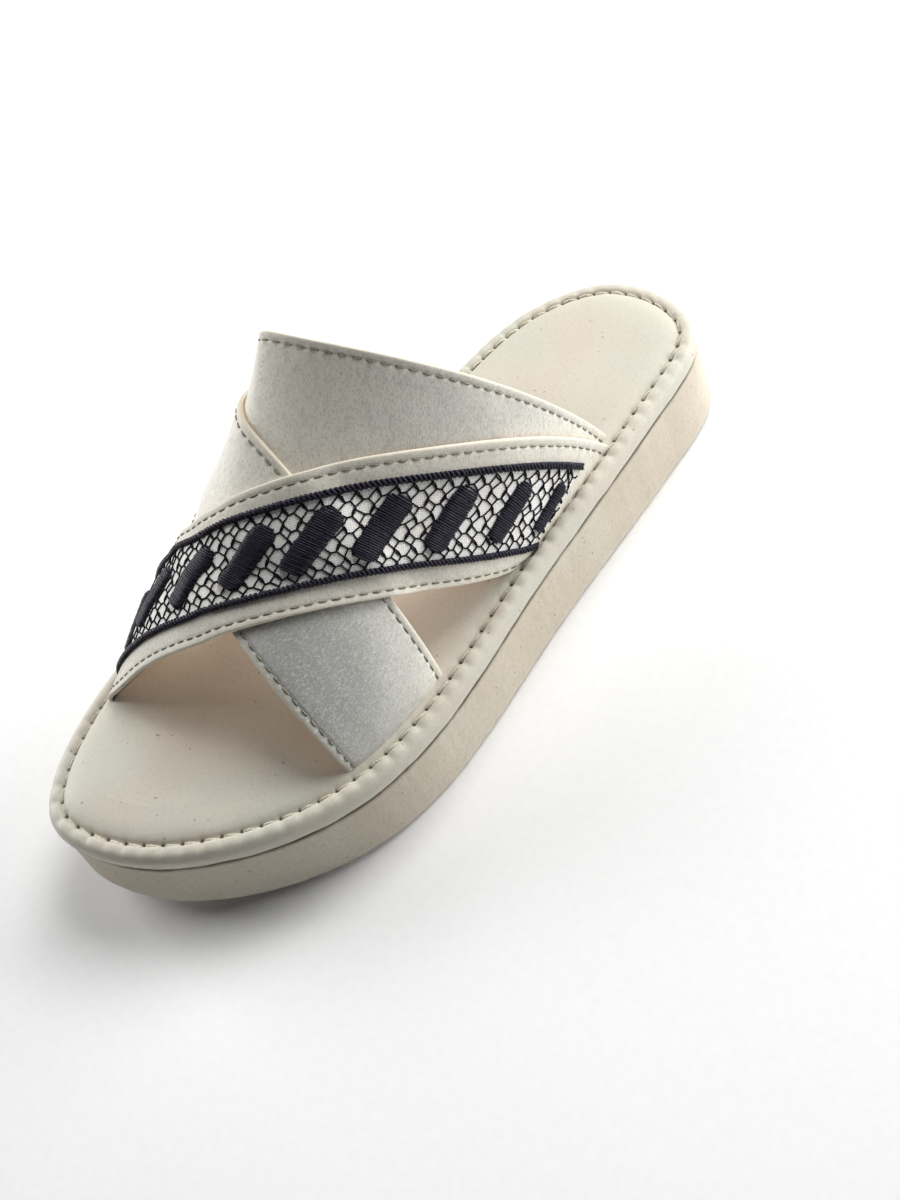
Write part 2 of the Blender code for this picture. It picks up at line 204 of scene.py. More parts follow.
SWELL = 0.12
BULGE_TO = 2.5  # the roll's outer side bulges between the puckers up to this inset
BULGE = 0.35
CUT_EDGE = (
    # from_edge, below_face, rawness: a strap's eased edge and the line its stitches press in
    (0.0, 0.55, 1.0),
    (0.10, 0.25, 0.9),
    (0.30, 0.07, 0.7),
    (0.55, 0.0, 0.5),
    (1.1, 0.0, 0.35),
    (1.7, 0.03, 0.25),
    (2.1, 0.16, 0.1),
    (2.4, 0.26, 0.0),
    (2.7, 0.16, 0.1),
    (3.1, 0.03, 0.1),
    (3.8, 0.0, 0.0),
)
LINING_THICK = 0.6
CUT_WALL = (
    # from_edge, height over the last: the cut side of a strap
    (0.0, 1.2),
    (0.0, 0.75),
    (0.3, LINING_THICK),
)
UNDERSIDE_RAW = 0.4
FACE_LINES = 22  # lines along a strap's face, and along its underside and lining
UNDER_LINES = 14
DENSE = 801  # points along a strap to measure it by
STRAP_ROWS = 230
LINING_ROWS = 120
LINING_TRIM = 0.45
SHADE_ACROSS = (0.90, 0.06)  # where the painted shade on the band lining's front edge starts, and how soft it is
SHADE_ALONG = (0.72, 0.12)
LINING_FACES = (LINING_THICK - 0.06, 0.02)  # heights of the lining's outer and inner face
TAIL_DROPS = (6.0, 3.0, 1.0)  # rows of a strap below its feet
EDGE_STITCH_INSET = 2.4  # strap edge to its row of stitches
EDGE_STITCH_PITCH = 4.2
EDGE_STITCH_LENGTH = 3.1
EDGE_STITCH_START = 0.2  # share of the pitch
EDGE_STITCH_SUNK = 0.10
EDGE_STITCH_RISE = np.array([-0.45, 0.05, 0.12, 0.12, 0.05, -0.45])
EDGE_THREAD_RADIUS = 0.26
BELOW_FOOT = 200.0  # a strap runs straight down past its feet, mm for each whole turn
TABLE_TURNS = (-0.06, 1.06, 1121)  # turns that the table of flat places is made from
TABLE_SHARES = 41
TABLE_TRIES = 6  # steps of the search for each flat place
TABLE_PROBE = 0.5  # looked ahead for how fast the gap closes
TABLE_SLOWEST = 0.3
TABLE_LONGEST = 4.0
TABLE_MARGIN = 0.6  # kept back from the table's end, for the look ahead
TABLE_MIDDLE = 1001  # points along the strap's middle line
TAPE_REAR = -14.6  # woven band across the strap, from the strap's middle line
TAPE_FRONT = 11.5
ROPE_SHARE_REAR = 0.175  # the same two lines as shares of the strap's width
ROPE_SHARE_FRONT = 0.784
BARS = (
    # along, lean, length, width: satin bars laid along the band
    (-12.0, 33.0, 17.0, 5.0),
    (10.2, 33.0, 18.0, 5.0),
    (29.6, 37.0, 20.6, 7.0),
    (53.0, 38.0, 22.4, 8.0),
    (75.8, 44.0, 23.6, 8.2),
    (97.3, 48.0, 24.2, 8.2),
    (118.3, 51.0, 24.4, 8.0),
    (141.4, 54.0, 24.4, 7.6),
    (165.0, 54.0, 23.6, 6.4),
    (186.0, 54.0, 23.4, 6.4),
    (208.0, 54.0, 23.4, 6.4),
)
BAR_ACROSS = -1.4  # middle of the bars across the band
BAR_SLANT = 9.0  # degrees that the strands lean off square
BAR_ROUND = 2.6  # squareness of a bar's outline and of its rounded top
BAR_PADDING = 1.15
BAR_PADDED = 2.6  # half width from which a bar is padded in full
BAR_ENDS = (0.25, 0.2)  # bar's ends to its first and its last strand
BAR_SEED = 42
STRAND_LEAST = 0.5  # least half length
STRAND_LOOSE = (0.22, 0.06, 0.05)  # how far a strand strays in half length, place and height
STRAND_POINTS = 11
STRAND_HEIGHT = 0.25
STRAND_PITCH = 0.80
STRAND_RADIUS = 0.44
ROPE_TWIST = 2.9  # one whole turn of the two plies
ROPE_PLY_RADIUS = 0.60
ROPE_SPREAD = (0.66, 0.46)  # how far a ply winds across and up and down
ROPE_HEIGHT = 0.66
ROPE_STEP = 0.26
TAPE_STOPS_REAR = 0.019  # turns of the strap where the tape stops, short of the outer foot
TAPE_STOPS_FRONT = 0.008
TAPE_TO_TURN = 1.02  # and goes down into the footbed at the inner one
PAST_FOOT = 26.0  # the slanting feet run on this far past the ends of the middle line
NET_FIRST = 2.3  # first knot of the net along the band
NET_PITCH = 5.5  # cells of the net along the band
NET_ROWS = 6
NET_SHIFTS = (-0.8, 0.0, -0.3, 1.4, 1.1, 0.6)
NET_BEFORE = 6  # cells before the first, over the slanting foot
NET_MARGIN = 1.3  # outermost rows of knots from the tape's edges
NET_FLAT = 0.8
NET_SEED = 41
NET_LOOSE = 0.26  # how far a knot may stray
NET_TILT = 0.2
NET_STUB = 0.45
NET_KNOT = 0.4  # half length of a knot
NET_DOUBLED = (0.35, -0.42)  # bow of the second thread beside a doubled side
NET_THREAD_RADIUS = 0.26
NET_HEIGHT = 0.30
NET_ARCH = 0.12
NET_STEP = 0.9
NET_HIDDEN = 0.8  # threads this far inside a bar are left out
PAINTED_LIGHT_PATCHES = {
    # strap: patches of painted highlight and painted shade as (share along from the outer foot,
    # share across from the rear edge, reach, how strong the painted highlight, or painted shade
    # below 0)
    "instep": ((0.0, 0.5, 0.20, 0.9), (0.28, 0.6, 0.14, -0.7), (0.68, 0.3, 0.30, 1.6)),
    "plain": ((0.03, 0.0, 0.11, 0.8), (0.17, 0.6, 0.17, -1.7), (0.75, 0.5, 0.30, 1.1)),
    "band": ((0.0, 0.5, 0.14, 0.6), (0.10, 1.1, 0.12, 1.9), (0.50, 0.5, 0.25, -0.4),
             (0.80, 0.2, 0.12, 0.5)),
}
PAINTED_PATCH_ACROSS = 0.35  # a patch reaches about three times as far across as along
TAPE_LIFT = 0.22
TAPE_LINES = 34
TAPE_ROWS = 260
TAPE_STEP = 0.1
TAPE_WAVES = 1.4 / math.pi  # wave texture repeats for threads 0.7 mm apart

# ---- studio, metres, watts and degrees ----
FLOOR_RADIUS = 0.85
FLOOR_HEIGHT = -0.0002
CAMERA_PLACE = (-0.2682, 0.0893, 0.3693)
CAMERA_AIM = (-0.02477, -0.00196, 0.03)
CAMERA_ROLL = -26.76
CAMERA_LENS = 38.69
LIGHTS = (
    # name, position, aim, size, power
    ("heel_key", (-0.30, -0.76, 0.20), (0.0, -0.04, 0.03), 0.6, 9.5),
    ("heel_fill", (0.08, -0.48, 0.77), (0.0, -0.03, 0.02), 0.5, 6.4),
    ("inner_rim", (0.80, 0.37, 0.42), (0.0, -0.02, 0.04), 0.6, 8.0),
)
STUDIO_GLOW = (
    # height of a direction over the horizon, brightness of the studio there
    (0.0, 0.40),
    (0.05, 0.36),
    (0.24, 0.05),
)

# ---- colours of the finishes ----
FOAM_CREAM = "#C4BBAA"
FOAM_PALE = "#CBC4B5"
FOAM_SHADE = "#B0A693"
# painted shade for the seam under the footbed
SEAM_SHADE = "#4A4437"
DIRT = "#6E6656"
BED_CREAM = "#C9C4B6"
BED_WARM = "#C9BFB2"
BED_COOL = "#C1C3B6"
BED_SHADE = "#A9A393"
# painted shade inside the rim's needle holes
HOLE_SHADE = "#3B352B"
NAP_TIP = "#E6E3D9"
CUT_CREAM = "#D6CEBC"
LINING_PEACH = "#C6986C"
LINING_PALE = "#D6AD86"
LINING_DEEP = "#A98059"
# painted shade, near black, on the band's lining
UNDERSIDE_SHADE = "#1A1820"
TAPE_WHITE = "#F5F4F1"
TAPE_WARM = "#EAE7DF"
TAPE_GREY = "#B9B7B0"


# ---- numeric helpers ----
def column(table, index):
    """One column of a table as an array."""
    return np.array([row[index] for row in table], float)


def cubic(knots, values, at, closed=False):
    """Smooth cubic through values at knots, held past its ends; a closed one has no ends."""
    steps = np.diff(knots)
    slopes = (np.diff(values, axis=0).T / steps).T
    last = len(steps)
    system = np.eye(last + 1)
    right = np.zeros_like(values)
    for i in range(0 if closed else 1, last):
        system[i, (i - 1) % last] = steps[i - 1]
        system[i, i] = 2.0 * (steps[i - 1] + steps[i])
        system[i, i + 1] = steps[i]
        right[i] = 6.0 * (slopes[i] - slopes[i - 1])
    if closed:
        system[last, 0] = -1.0
    bend = np.linalg.solve(system, right)
    at = np.clip(np.asarray(at, float), knots[0], knots[-1])
    i = np.clip(np.searchsorted(knots, at) - 1, 0, last - 1)
    spread = at.shape + (1,) * (values.ndim - 1)
    a = ((knots[i + 1] - at) / steps[i]).reshape(spread)
    b = 1.0 - a
    curve = (a ** 3 - a) * bend[i] + (b ** 3 - b) * bend[i + 1]
    return a * values[i] + b * values[i + 1] + curve * steps[i].reshape(spread) ** 2 / 6.0


def read_table(table, index, at):
    """One column of a table read smoothly at places along its first column."""
    return cubic(column(table, 0), column(table, index), at)


def run_lengths(points):
    """Length along a line of points, from 0 at its first."""
    return np.concatenate([[0.0], np.cumsum(np.linalg.norm(np.diff(points, axis=0), axis=1))])


def pick_along(points, lengths, at):
    """Points of a line at given lengths along it."""
    return np.stack([np.interp(at, lengths, points[:, k]) for k in range(points.shape[1])], axis=1)


def ease(share):
    """Smooth step from 0 to 1."""
    share = np.clip(share, 0.0, 1.0)
    return share * share * (3.0 - 2.0 * share)


def bump_at(distance, width):
    """Round bump of height 1 and a given half width."""
    return np.exp(-(np.asarray(distance) / width) ** 2)


def wander(at, seed, pitch):
    """Smooth seeded wandering between -1 and 1 with knots every pitch."""
    knots = np.random.default_rng(seed).uniform(-1.0, 1.0, WANDER_KNOTS)
    place = np.asarray(at, float) / pitch
    low = np.floor(place).astype(int)
    share = ease(place - low)
    high = (low + 1) % WANDER_KNOTS
    return knots[low % WANDER_KNOTS] * (1.0 - share) + knots[high] * share


def waves(at, table):
    """Sum of wanderings given as rows of depth, seed and pitch."""
    return sum(depth * wander(at, seed, pitch) for depth, seed, pitch in table)


def in_frame(points):
    """Millimetres in the foot's frame to metres in the row's frame."""
    offset = np.array([-ORIGIN_FROM_LINE, -ORIGIN_FROM_HEEL, 0.0])
    return (np.asarray(points, float) + offset) * MM


# ---- sole outline ----
def outline(steps):
    """Seam outline ring with steps on each half: heel, outer side, toe, inner side."""
    outer = [(row[1], row[0]) for row in OUTLINE]
    inner = [(row[2], row[0]) for row in reversed(OUTLINE)]
    points = np.array([OUTLINE_HEEL] + outer + [OUTLINE_TOE] + inner + [OUTLINE_HEEL])
    spans = np.sqrt(np.linalg.norm(np.diff(points, axis=0), axis=1))
    knots = np.concatenate([[0.0], np.cumsum(spans)])
    ends = (0.0, knots[len(outer) + 1], knots[-1])
    at = [np.linspace(start, end, steps, endpoint=False) for start, end in zip(ends, ends[1:])]
    return cubic(knots, points, np.concatenate(at), closed=True)


def outward_directions(ring):
    """Unit directions pointing out of a ring, square to it."""
    along = np.roll(ring, -1, axis=0) - np.roll(ring, 1, axis=0)
    out = np.stack([-along[:, 1], along[:, 0]], axis=1)
    out /= np.linalg.norm(out, axis=1)[:, None]
    if ((ring - ring.mean(axis=0)) * out).sum() < 0:
        out = -out
    return out


def even_ring(count_per_side, inset):
    """The seam outline respaced so that the line at an inset has even steps on each half."""
    seam = outline(SEAM_STEPS)
    stitched = seam - outward_directions(seam) * inset
    half = len(seam) // 2
    seam, stitched = (np.vstack([line, line[:1]]) for line in (seam, stitched))
    picked = []
    for part in (slice(0, half + 1), slice(half, None)):
        lengths = run_lengths(stitched[part])
        at = np.linspace(0.0, lengths[-1], count_per_side, endpoint=False)
        picked.append(pick_along(seam[part], lengths, at))
    return np.vstack(picked)


def closed_lengths(ring):
    """Length round a closed ring at each of its points."""
    return run_lengths(np.vstack([ring, ring[:1]]))[:-1]


def stitch_height(from_heel):
    """Height of the footbed's stitched line over the floor."""
    share = np.clip(from_heel / LENGTH, 0.0, 1.0)
    return read_table(STITCH_HEIGHT, 1, share)


def foam_top(from_heel):
    """Height of the outsole's roof, half a gap under the seam."""
    return stitch_height(from_heel) - FOOTBED_RISE - PIECE_GAP / 2.0


def bed_bottom(from_heel):
    """Height of the footbed's underside, half a gap over the seam."""
    return stitch_height(from_heel) - FOOTBED_RISE + PIECE_GAP / 2.0


def sole_lift(from_heel):
    """Height of the outsole's underside: flat, then toe spring and a lifted heel end."""
    share = np.clip(from_heel / LENGTH, 0.0, 1.0)
    toe = np.clip((share - TOE_SPRING_FROM) / (1.0 - TOE_SPRING_FROM), 0.0, 1.0) ** 2
    heel = np.clip((HEEL_LIFT_TO - share) / HEEL_LIFT_TO, 0.0, 1.0) ** 2
    return TOE_SPRING * toe + HEEL_LIFT * heel


# ---- last under the straps ----
def last_edge(side):
    """Edge of the last on one side as (from_heel, x) arrays sorted from heel to toe."""
    ring = outline(OUTLINE_STEPS)
    ring = ring - outward_directions(ring) * STRAP_INSET
    half = len(ring) // 2
    part = ring[2:half - 1] if side == "outer" else ring[half + 2:-1]
    order = np.argsort(part[:, 1])
    return part[order, 1], part[order, 0]


OUTER_EDGE = last_edge("outer")
INNER_EDGE = last_edge("inner")


def last_point(from_heel, turn):
    """Points on the last; turn 0 is the outer edge of the footbed, 1 the inner edge."""
    y, turn = np.broadcast_arrays(from_heel, turn)
    ridge, share, outer_square, inner_square, bulge = (
        read_table(LAST_SECTIONS, k, y) for k in range(1, 6)
    )
    outer_x = np.interp(y, *OUTER_EDGE)
    inner_x = np.interp(y, *INNER_EDGE)
    angle = np.pi * np.clip(turn, 0.0, 1.0)
    cosine = np.cos(angle)
    sine = np.maximum(np.sin(angle), 0.0)
    outer_half = cosine > 0.0
    reach = np.abs(cosine)
    across = np.where(
        outer_half,
        share - share * reach ** (2.0 / outer_square),
        share + (1.0 - share) * reach ** (2.0 / inner_square),
    )
    up = np.where(outer_half, sine ** (2.0 / outer_square), sine ** (2.0 / inner_square))
    extra = np.where(outer_half, 0.0, bulge * np.sin(2.0 * angle) ** 2)
    x = outer_x + (inner_x - outer_x) * across + extra
    return np.stack([x, y, stitch_height(y) + ridge * up], axis=-1)


def last_outward(from_heel, turn):
    """Directions out of the last at points, turning level at the straps' feet."""
    y, turn = np.broadcast_arrays(from_heel, turn)
    low = np.clip(turn - TURN_STEP, 0.001, 1.0 - 3.0 * TURN_STEP)
    round_way = last_point(y, low + 2.0 * TURN_STEP) - last_point(y, low)
    long_way = last_point(y + 0.5, turn) - last_point(y - 0.5, turn)
    out = np.cross(round_way, long_way)
    out /= np.linalg.norm(out, axis=-1, keepdims=True)
    middle = last_point(y, 0.5) * 0.5 + last_point(y, 0.0) * 0.25 + last_point(y, 1.0) * 0.25
    facing = ((last_point(y, turn) - middle) * out).sum(axis=-1, keepdims=True)
    out = np.where(facing < 0.0, -out, out)
    level = out * np.array([1.0, 1.0, 0.0])
    level /= np.linalg.norm(level, axis=-1, keepdims=True)
    at_edge = np.minimum(turn, 1.0 - turn)[..., None]
    out = level + (out - level) * ease(at_edge / LEVEL_NEAR)
    return out / np.linalg.norm(out, axis=-1, keepdims=True)


# ---- mesh helpers ----
def choose(*pieces):
    """Select only these objects, with the first one active."""
    bpy.ops.object.select_all(action="DESELECT")
    for piece in pieces:
        piece.select_set(True)
    bpy.context.view_layer.objects.active = pieces[0]


def laid_grid(name, points, u, v):
    """A primitive grid whose vertices are laid at points[row, column], with a flat map u, v."""
    rows, columns = points.shape[:2]
    bpy.ops.object.select_all(action="DESELECT")
    bpy.ops.mesh.primitive_grid_add(x_subdivisions=columns - 1, y_subdivisions=rows - 1, size=1.0)
    piece = bpy.context.object
    piece.name = name
    piece.data.name = name
    piece.data.vertices.foreach_set("co", in_frame(points).ravel())
    corners = np.empty(len(piece.data.loops), np.int32)
    piece.data.loops.foreach_get("vertex_index", corners)
    pairs = [np.broadcast_to(values, (rows, columns)).ravel()[corners] for values in (u, v)]
    flat = piece.data.uv_layers[0]
    flat.name = "FlatMap"
    flat.data.foreach_set("uv", np.stack(pairs, axis=1).ravel())
    piece.data.update()
    return piece


def mark_points(piece, name, values):
    """Store a value at every vertex for the material to read."""
    mark = piece.data.attributes.new(name, "FLOAT", "POINT")
    mark.data.foreach_set("value", np.asarray(values, np.float32).ravel())


def join(name, pieces):
    """Join pieces into the first one."""
    choose(*pieces)
    bpy.ops.object.join()
    pieces[0].name = name
    pieces[0].data.name = name
    return pieces[0]


def close_shell(piece, open_ends=False):
    """Merge doubled vertices, fill open ends and turn every face outward."""
    choose(piece)
    bpy.ops.object.mode_set(mode="EDIT")
    bpy.ops.mesh.select_all(action="SELECT")
    bpy.ops.mesh.remove_doubles(threshold=DOUBLED)
    if open_ends:
        bpy.ops.mesh.select_all(action="DESELECT")
        bpy.ops.mesh.select_mode(type="EDGE")
        bpy.ops.mesh.select_non_manifold(extend=False)
        bpy.ops.mesh.fill_holes(sides=0)
        bpy.ops.mesh.select_all(action="SELECT")
    bpy.ops.mesh.normals_make_consistent(inside=False)
    bpy.ops.object.mode_set(mode="OBJECT")


def finish_piece(piece, material, nodes=(), smooth=70.0):
    """Shade, colour and hang a finished piece on the frame."""
    choose(piece)
    bpy.ops.object.shade_smooth_by_angle(angle=math.radians(smooth))
    piece.data.materials.clear()
    piece.data.materials.append(material)
    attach(piece, "root")
    if nodes:
        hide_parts(*nodes)


def ladder(ring, height_at, rungs):
    """Grid of rungs across a closed ring from its outer half to its inner half."""
    half = len(ring) // 2
    left = ring[:half + 1]
    right = np.vstack([ring[:1], ring[::-1][:half]])
    share = np.linspace(0.0, 1.0, rungs + 1)[None, :, None]
    grid = left[:, None, :] * (1.0 - share) + right[:, None, :] * share
    inner = slice(1, rungs)
    grid[:, inner, 2] = height_at(grid, share[..., 0])[:, inner]
    return grid


def wrapped(rings):
    """Rings with their first point repeated at the end, so that a grid of them meets itself."""
    return np.concatenate([rings, rings[:, :1]], axis=1)


def build_threads(name, paths, radius, material, sides=1):
    """One piece of round threads along paths of points in the foot's frame."""
    curve = bpy.data.curves.new(name, "CURVE")
    curve.dimensions = "3D"
    curve.bevel_depth = radius * MM
    curve.bevel_resolution = sides
    curve.use_fill_caps = True
    for path in paths:
        spline = curve.splines.new("POLY")
        spline.points.add(len(path) - 1)
        places = np.column_stack([in_frame(path), np.ones(len(path))])
        spline.points.foreach_set("co", places.ravel())
    piece = bpy.data.objects.new(name, curve)
    bpy.context.scene.collection.objects.link(piece)
    choose(piece)
    bpy.ops.object.convert(target="MESH")
    finish_piece(bpy.context.object, material)


# ---- materials ----
def linear(hex_colour):
    """sRGB hex to a linear colour with alpha."""
    channels = [int(hex_colour[i:i + 2], 16) / 255.0 for i in (1, 3, 5)]
    lit = [c / 12.92 if c <= 0.04045 else ((c + 0.055) / 1.055) ** 2.4 for c in channels]
    return (*lit, 1.0)


def per_metre(size_mm):
    """Repeats in a metre of a pattern whose grains have a size in millimetres."""
    return 1.0 / (size_mm * MM)


def add_node(tree, kind, inputs=None, **settings):
    """Add a node with its settings; an input takes a socket to link, a hex colour or a value."""
    made = tree.nodes.new("ShaderNode" + kind)
    for key, value in settings.items():
        setattr(made, key, value)
    for key, value in (inputs or {}).items():
        if isinstance(value, bpy.types.NodeSocket):
            tree.links.new(value, made.inputs[key])
        else:
            made.inputs[key].default_value = linear(value) if isinstance(value, str) else value
    return made


def new_finish(name, roughness, **shader_values):
    """A material with its node tree, its shader and the object's own coordinates."""
    material = bpy.data.materials.new(name)
    material.use_nodes = True
    tree = material.node_tree
    shader = tree.nodes["Principled BSDF"]
    shader.inputs["Roughness"].default_value = roughness
    for key, value in shader_values.items():
        shader.inputs[key.replace("_", " ")].default_value = value
    return material, tree, shader, add_node(tree, "TexCoord").outputs["Object"]


def dress(tree, shader, base, tints, reliefs):
    """Give a shader its base colour, tints and reliefs.

    A tint is laid on where a pattern goes from low to high, up to a share of the colour; a
    relief is a height pattern with its depth in mm.
    """
    colour = base
    for tint, pattern, low, high, most in tints:
        share = add_node(tree, "MapRange", {
            "Value": pattern, "From Min": low, "From Max": high, "To Max": most,
        }, interpolation_type="SMOOTHSTEP").outputs["Result"]
        colour = add_node(tree, "Mix", {0: share, 6: colour, 7: tint},
                          data_type="RGBA").outputs[2]
    tree.links.new(colour, shader.inputs["Base Color"])
    normal = {}
    for height, depth_mm in reliefs:
        bump = add_node(tree, "Bump", {
            "Height": height, "Distance": depth_mm * MM, **normal})
        normal = {"Normal": bump.outputs["Normal"]}
    tree.links.new(normal["Normal"], shader.inputs["Normal"])


def moulded_foam():
    """EVA foam, moulded and sprayed: no gloss at all, a soft even wall with tiny pits, faint clouds
    where the spray is thicker, and painted shade in the seam under the footbed."""
    material, tree, shader, place = new_finish("moulded_eva_foam", 0.78, Specular_IOR_Level=0.25)
    # foam pores are about 0.2 mm; drawn at 0.6 mm so that they show
    cloud, mottle, pores, specks = (
        add_node(tree, "TexNoise", {
            "Vector": place, "Scale": per_metre(size), "Detail": detail, "Roughness": rough,
        }).outputs["Fac"]
        for size, detail, rough in (
            (36.0, 2.0, 0.5), (1.6, 4.0, 0.65), (0.6, 2.0, 0.5), (1.3, 0.0, 0.5))
    )
    flat = add_node(tree, "UVMap", uv_map="FlatMap").outputs["UV"]
    share_up = add_node(tree, "SeparateXYZ", {"Vector": flat}).outputs["Y"]
    dress(tree, shader, FOAM_CREAM, (
        (FOAM_PALE, cloud, 0.35, 0.65, 1.0),
        (FOAM_SHADE, mottle, 0.40, 0.72, 0.35),
        (DIRT, specks, 0.80, 0.84, 0.55),
        # painted shade along the top of the wall, in the seam under the footbed's rim
        (SEAM_SHADE, share_up, 0.975, 0.995, 0.75),
    ), ((mottle, 0.16), (pores, 0.07)))
    return material


def footbed_leather():
    """Pigment-coated sheepskin over padding: smooth to the eye with a very fine pebble, a low satin
    sheen, uneven warm and greenish clouds, and painted shade in the small needle holes along the
    seam."""
    material, tree, shader, place = new_finish(
        "coated_sheepskin_footbed", 0.52, Specular_IOR_Level=0.3, Sheen_Weight=0.06
    )
    aside = add_node(tree, "Mapping", {
        "Vector": place, "Location": (0.31, 0.17, 0.0)}).outputs["Vector"]
    warm, cool, grain, pebble, specks = (
        add_node(tree, "TexNoise", {
            "Vector": vector, "Scale": per_metre(size), "Detail": detail, "Roughness": rough,
        }).outputs["Fac"]
        for vector, size, detail, rough in (
            (place, 30.0, 1.5, 0.5), (aside, 34.0, 1.5, 0.5), (place, 0.9, 3.0, 0.6),
            (place, 2.2, 2.0, 0.5), (place, 1.5, 0.0, 0.5))
    )
    # painted shade in the needle holes of the rim stitches, at whole numbers of the flat map's u,
    # one stitch apart
    flat = add_node(tree, "UVMap", uv_map="FlatMap").outputs["UV"]
    parts = add_node(tree, "SeparateXYZ", {"Vector": flat})
    to_hole = add_node(tree, "Math", {0: parts.outputs["X"], 1: 0.5},
                       operation="PINGPONG").outputs[0]
    across = add_node(tree, "Math", {0: parts.outputs["Y"], 1: TROUGH_INSET},
                      operation="SUBTRACT").outputs[0]
    spot = add_node(tree, "CombineXYZ", {"X": to_hole, "Y": across}).outputs["Vector"]
    sized = add_node(tree, "VectorMath", {0: spot, 1: (STITCH_PITCH, 1.15, 0.0)},
                     operation="MULTIPLY").outputs["Vector"]
    reach = add_node(tree, "VectorMath", {0: sized},
                     operation="LENGTH").outputs["Value"]
    nearness = add_node(tree, "Math", {0: 1.6, 1: reach},
                        operation="SUBTRACT").outputs[0]
    dress(tree, shader, BED_CREAM, (
        (BED_WARM, warm, 0.42, 0.68, 0.7),
        (BED_COOL, cool, 0.42, 0.68, 0.7),
        (BED_SHADE, grain, 0.42, 0.74, 0.28),
        (DIRT, specks, 0.82, 0.86, 0.55),
        (HOLE_SHADE, nearness, 0.55, 1.2, 0.75),
    ), ((pebble, 0.05), (grain, 0.045)))
    return material


def brushed_nubuck(name, pale, grey, deep):
    """Cowhide sanded to a short nap: fine wriggling strokes, painted highlight in pale patches and
    painted shade in grey ones, a powdery glow along the edges and no shine."""
    material, tree, shader, place = new_finish(
        name, 0.9, Specular_IOR_Level=0.15, Sheen_Weight=0.5, Sheen_Roughness=0.5
    )
    flat = add_node(tree, "UVMap", uv_map="FlatMap").outputs["UV"]
    metres = add_node(tree, "VectorMath", {0: flat, 1: (MM, MM, MM)},
                      operation="MULTIPLY").outputs["Vector"]
    brushed = add_node(tree, "Mapping", {
        "Vector": metres, "Rotation": (0.0, 0.0, math.radians(50.0)),
        "Scale": (1.0, 0.62, 1.0)}).outputs["Vector"]
    # nap strokes are about 0.3 mm wide; drawn at 0.7 mm so that they show
    strokes, tufts, cloud = (
        add_node(tree, "TexNoise", {
            "Vector": vector, "Scale": per_metre(size), "Detail": detail, "Roughness": rough,
            "Distortion": wriggle,
        }).outputs["Fac"]
        for vector, size, detail, rough, wriggle in (
            (brushed, 0.7, 2.0, 0.6, 1.2), (brushed, 3.2, 3.0, 0.6, 0.0),
            (place, 24.0, 3.0, 0.5, 0.0))
    )
    edge, lit_and_shaded = (
        add_node(tree, "Attribute", attribute_name=mark).outputs["Fac"]
        for mark in ("cut_edge", "painted_light_and_shade")
    )
    # pale where random clouds and the painted highlight patches climb, deep where the painted shade
    # patches fall
    uneven = add_node(tree, "Math", {0: cloud, 1: 1.4, 2: lit_and_shaded},
                      operation="MULTIPLY_ADD").outputs[0]
    dress(tree, shader, grey, (
        (pale, uneven, 0.2, 1.6, 1.0),
        (deep, lit_and_shaded, -0.3, -1.5, 0.8),
        (deep, tufts, 0.45, 0.75, 0.22),
        (deep, strokes, 0.50, 0.62, 0.32),
        (NAP_TIP, strokes, 0.49, 0.38, 0.30),
        (CUT_CREAM, edge, 0.0, 1.0, 0.85),
    ), ((tufts, 0.10), (strokes, 0.12)))
    return material


def pigskin_lining():
    """Undyed pigskin, glazed: warm peach, smooth, with the hide's small pores scattered over it,
    and painted shade, near black, where it is marked."""
    material, tree, shader, place = new_finish("pigskin_lining", 0.55, Specular_IOR_Level=0.35)
    cloud, grain = (
        add_node(tree, "TexNoise", {
            "Vector": place, "Scale": per_metre(size), "Detail": 2.0}).outputs["Fac"]
        for size in (20.0, 0.7)
    )
    pores = add_node(tree, "TexVoronoi", {
        "Vector": place, "Scale": per_metre(1.6)}).outputs["Distance"]
    shaded = add_node(tree, "Attribute", attribute_name="painted_underside_shade").outputs["Fac"]
    dress(tree, shader, LINING_PEACH, (
        (LINING_PALE, cloud, 0.35, 0.65, 1.0),
        (LINING_DEEP, pores, 0.22, 0.05, 0.5),
        (UNDERSIDE_SHADE, shaded, 0.1, 0.6, 0.95),
    ), ((pores, 0.05), (grain, 0.04)))
    return material


def cotton_tape():
    """Plain-woven cotton tape: chalky off-white, matte, with its threads just showing."""
    material, tree, shader, place = new_finish(
        "woven_cotton_tape", 0.9, Specular_IOR_Level=0.2, Sheen_Weight=0.15
    )
    flat = add_node(tree, "UVMap", uv_map="FlatMap").outputs["UV"]
    # tape threads are about 0.25 mm; drawn at 0.7 mm so that they show
    weft, warp = (
        add_node(tree, "TexWave", {
            "Vector": flat, "Scale": TAPE_WAVES, "Distortion": 0.6,
        }, bands_direction=way).outputs["Fac"]
        for way in ("X", "Y")
    )
    weave = add_node(tree, "Math", {0: weft, 1: warp}, operation="MULTIPLY").outputs[0]
    cloud = add_node(tree, "TexNoise", {
        "Vector": place, "Scale": per_metre(7.0), "Detail": 3.0}).outputs["Fac"]
    dress(tree, shader, TAPE_WHITE, (
        (TAPE_WARM, cloud, 0.35, 0.7, 0.8),
        (TAPE_GREY, weave, 0.5, 0.05, 0.35),
    ), ((weave, 0.08),))
    return material


def sewing_thread(name, light, dark, roughness, gloss):
    """Twisted thread: short light and dark streaks where its plies turn over."""
    material, tree, shader, place = new_finish(name, roughness, Specular_IOR_Level=gloss)
    # the twist is about 0.4 mm long; drawn at 0.7 mm so that it shows
    streak, fuzz = (
        add_node(tree, "TexNoise", {
            "Vector": place, "Scale": per_metre(size), "Detail": detail}).outputs["Fac"]
        for size, detail in ((0.7, 2.0), (0.3, 1.0))
    )
    dress(tree, shader, light, ((dark, streak, 0.38, 0.68, 1.0),), ((streak, 0.04), (fuzz, 0.05)))
    return material


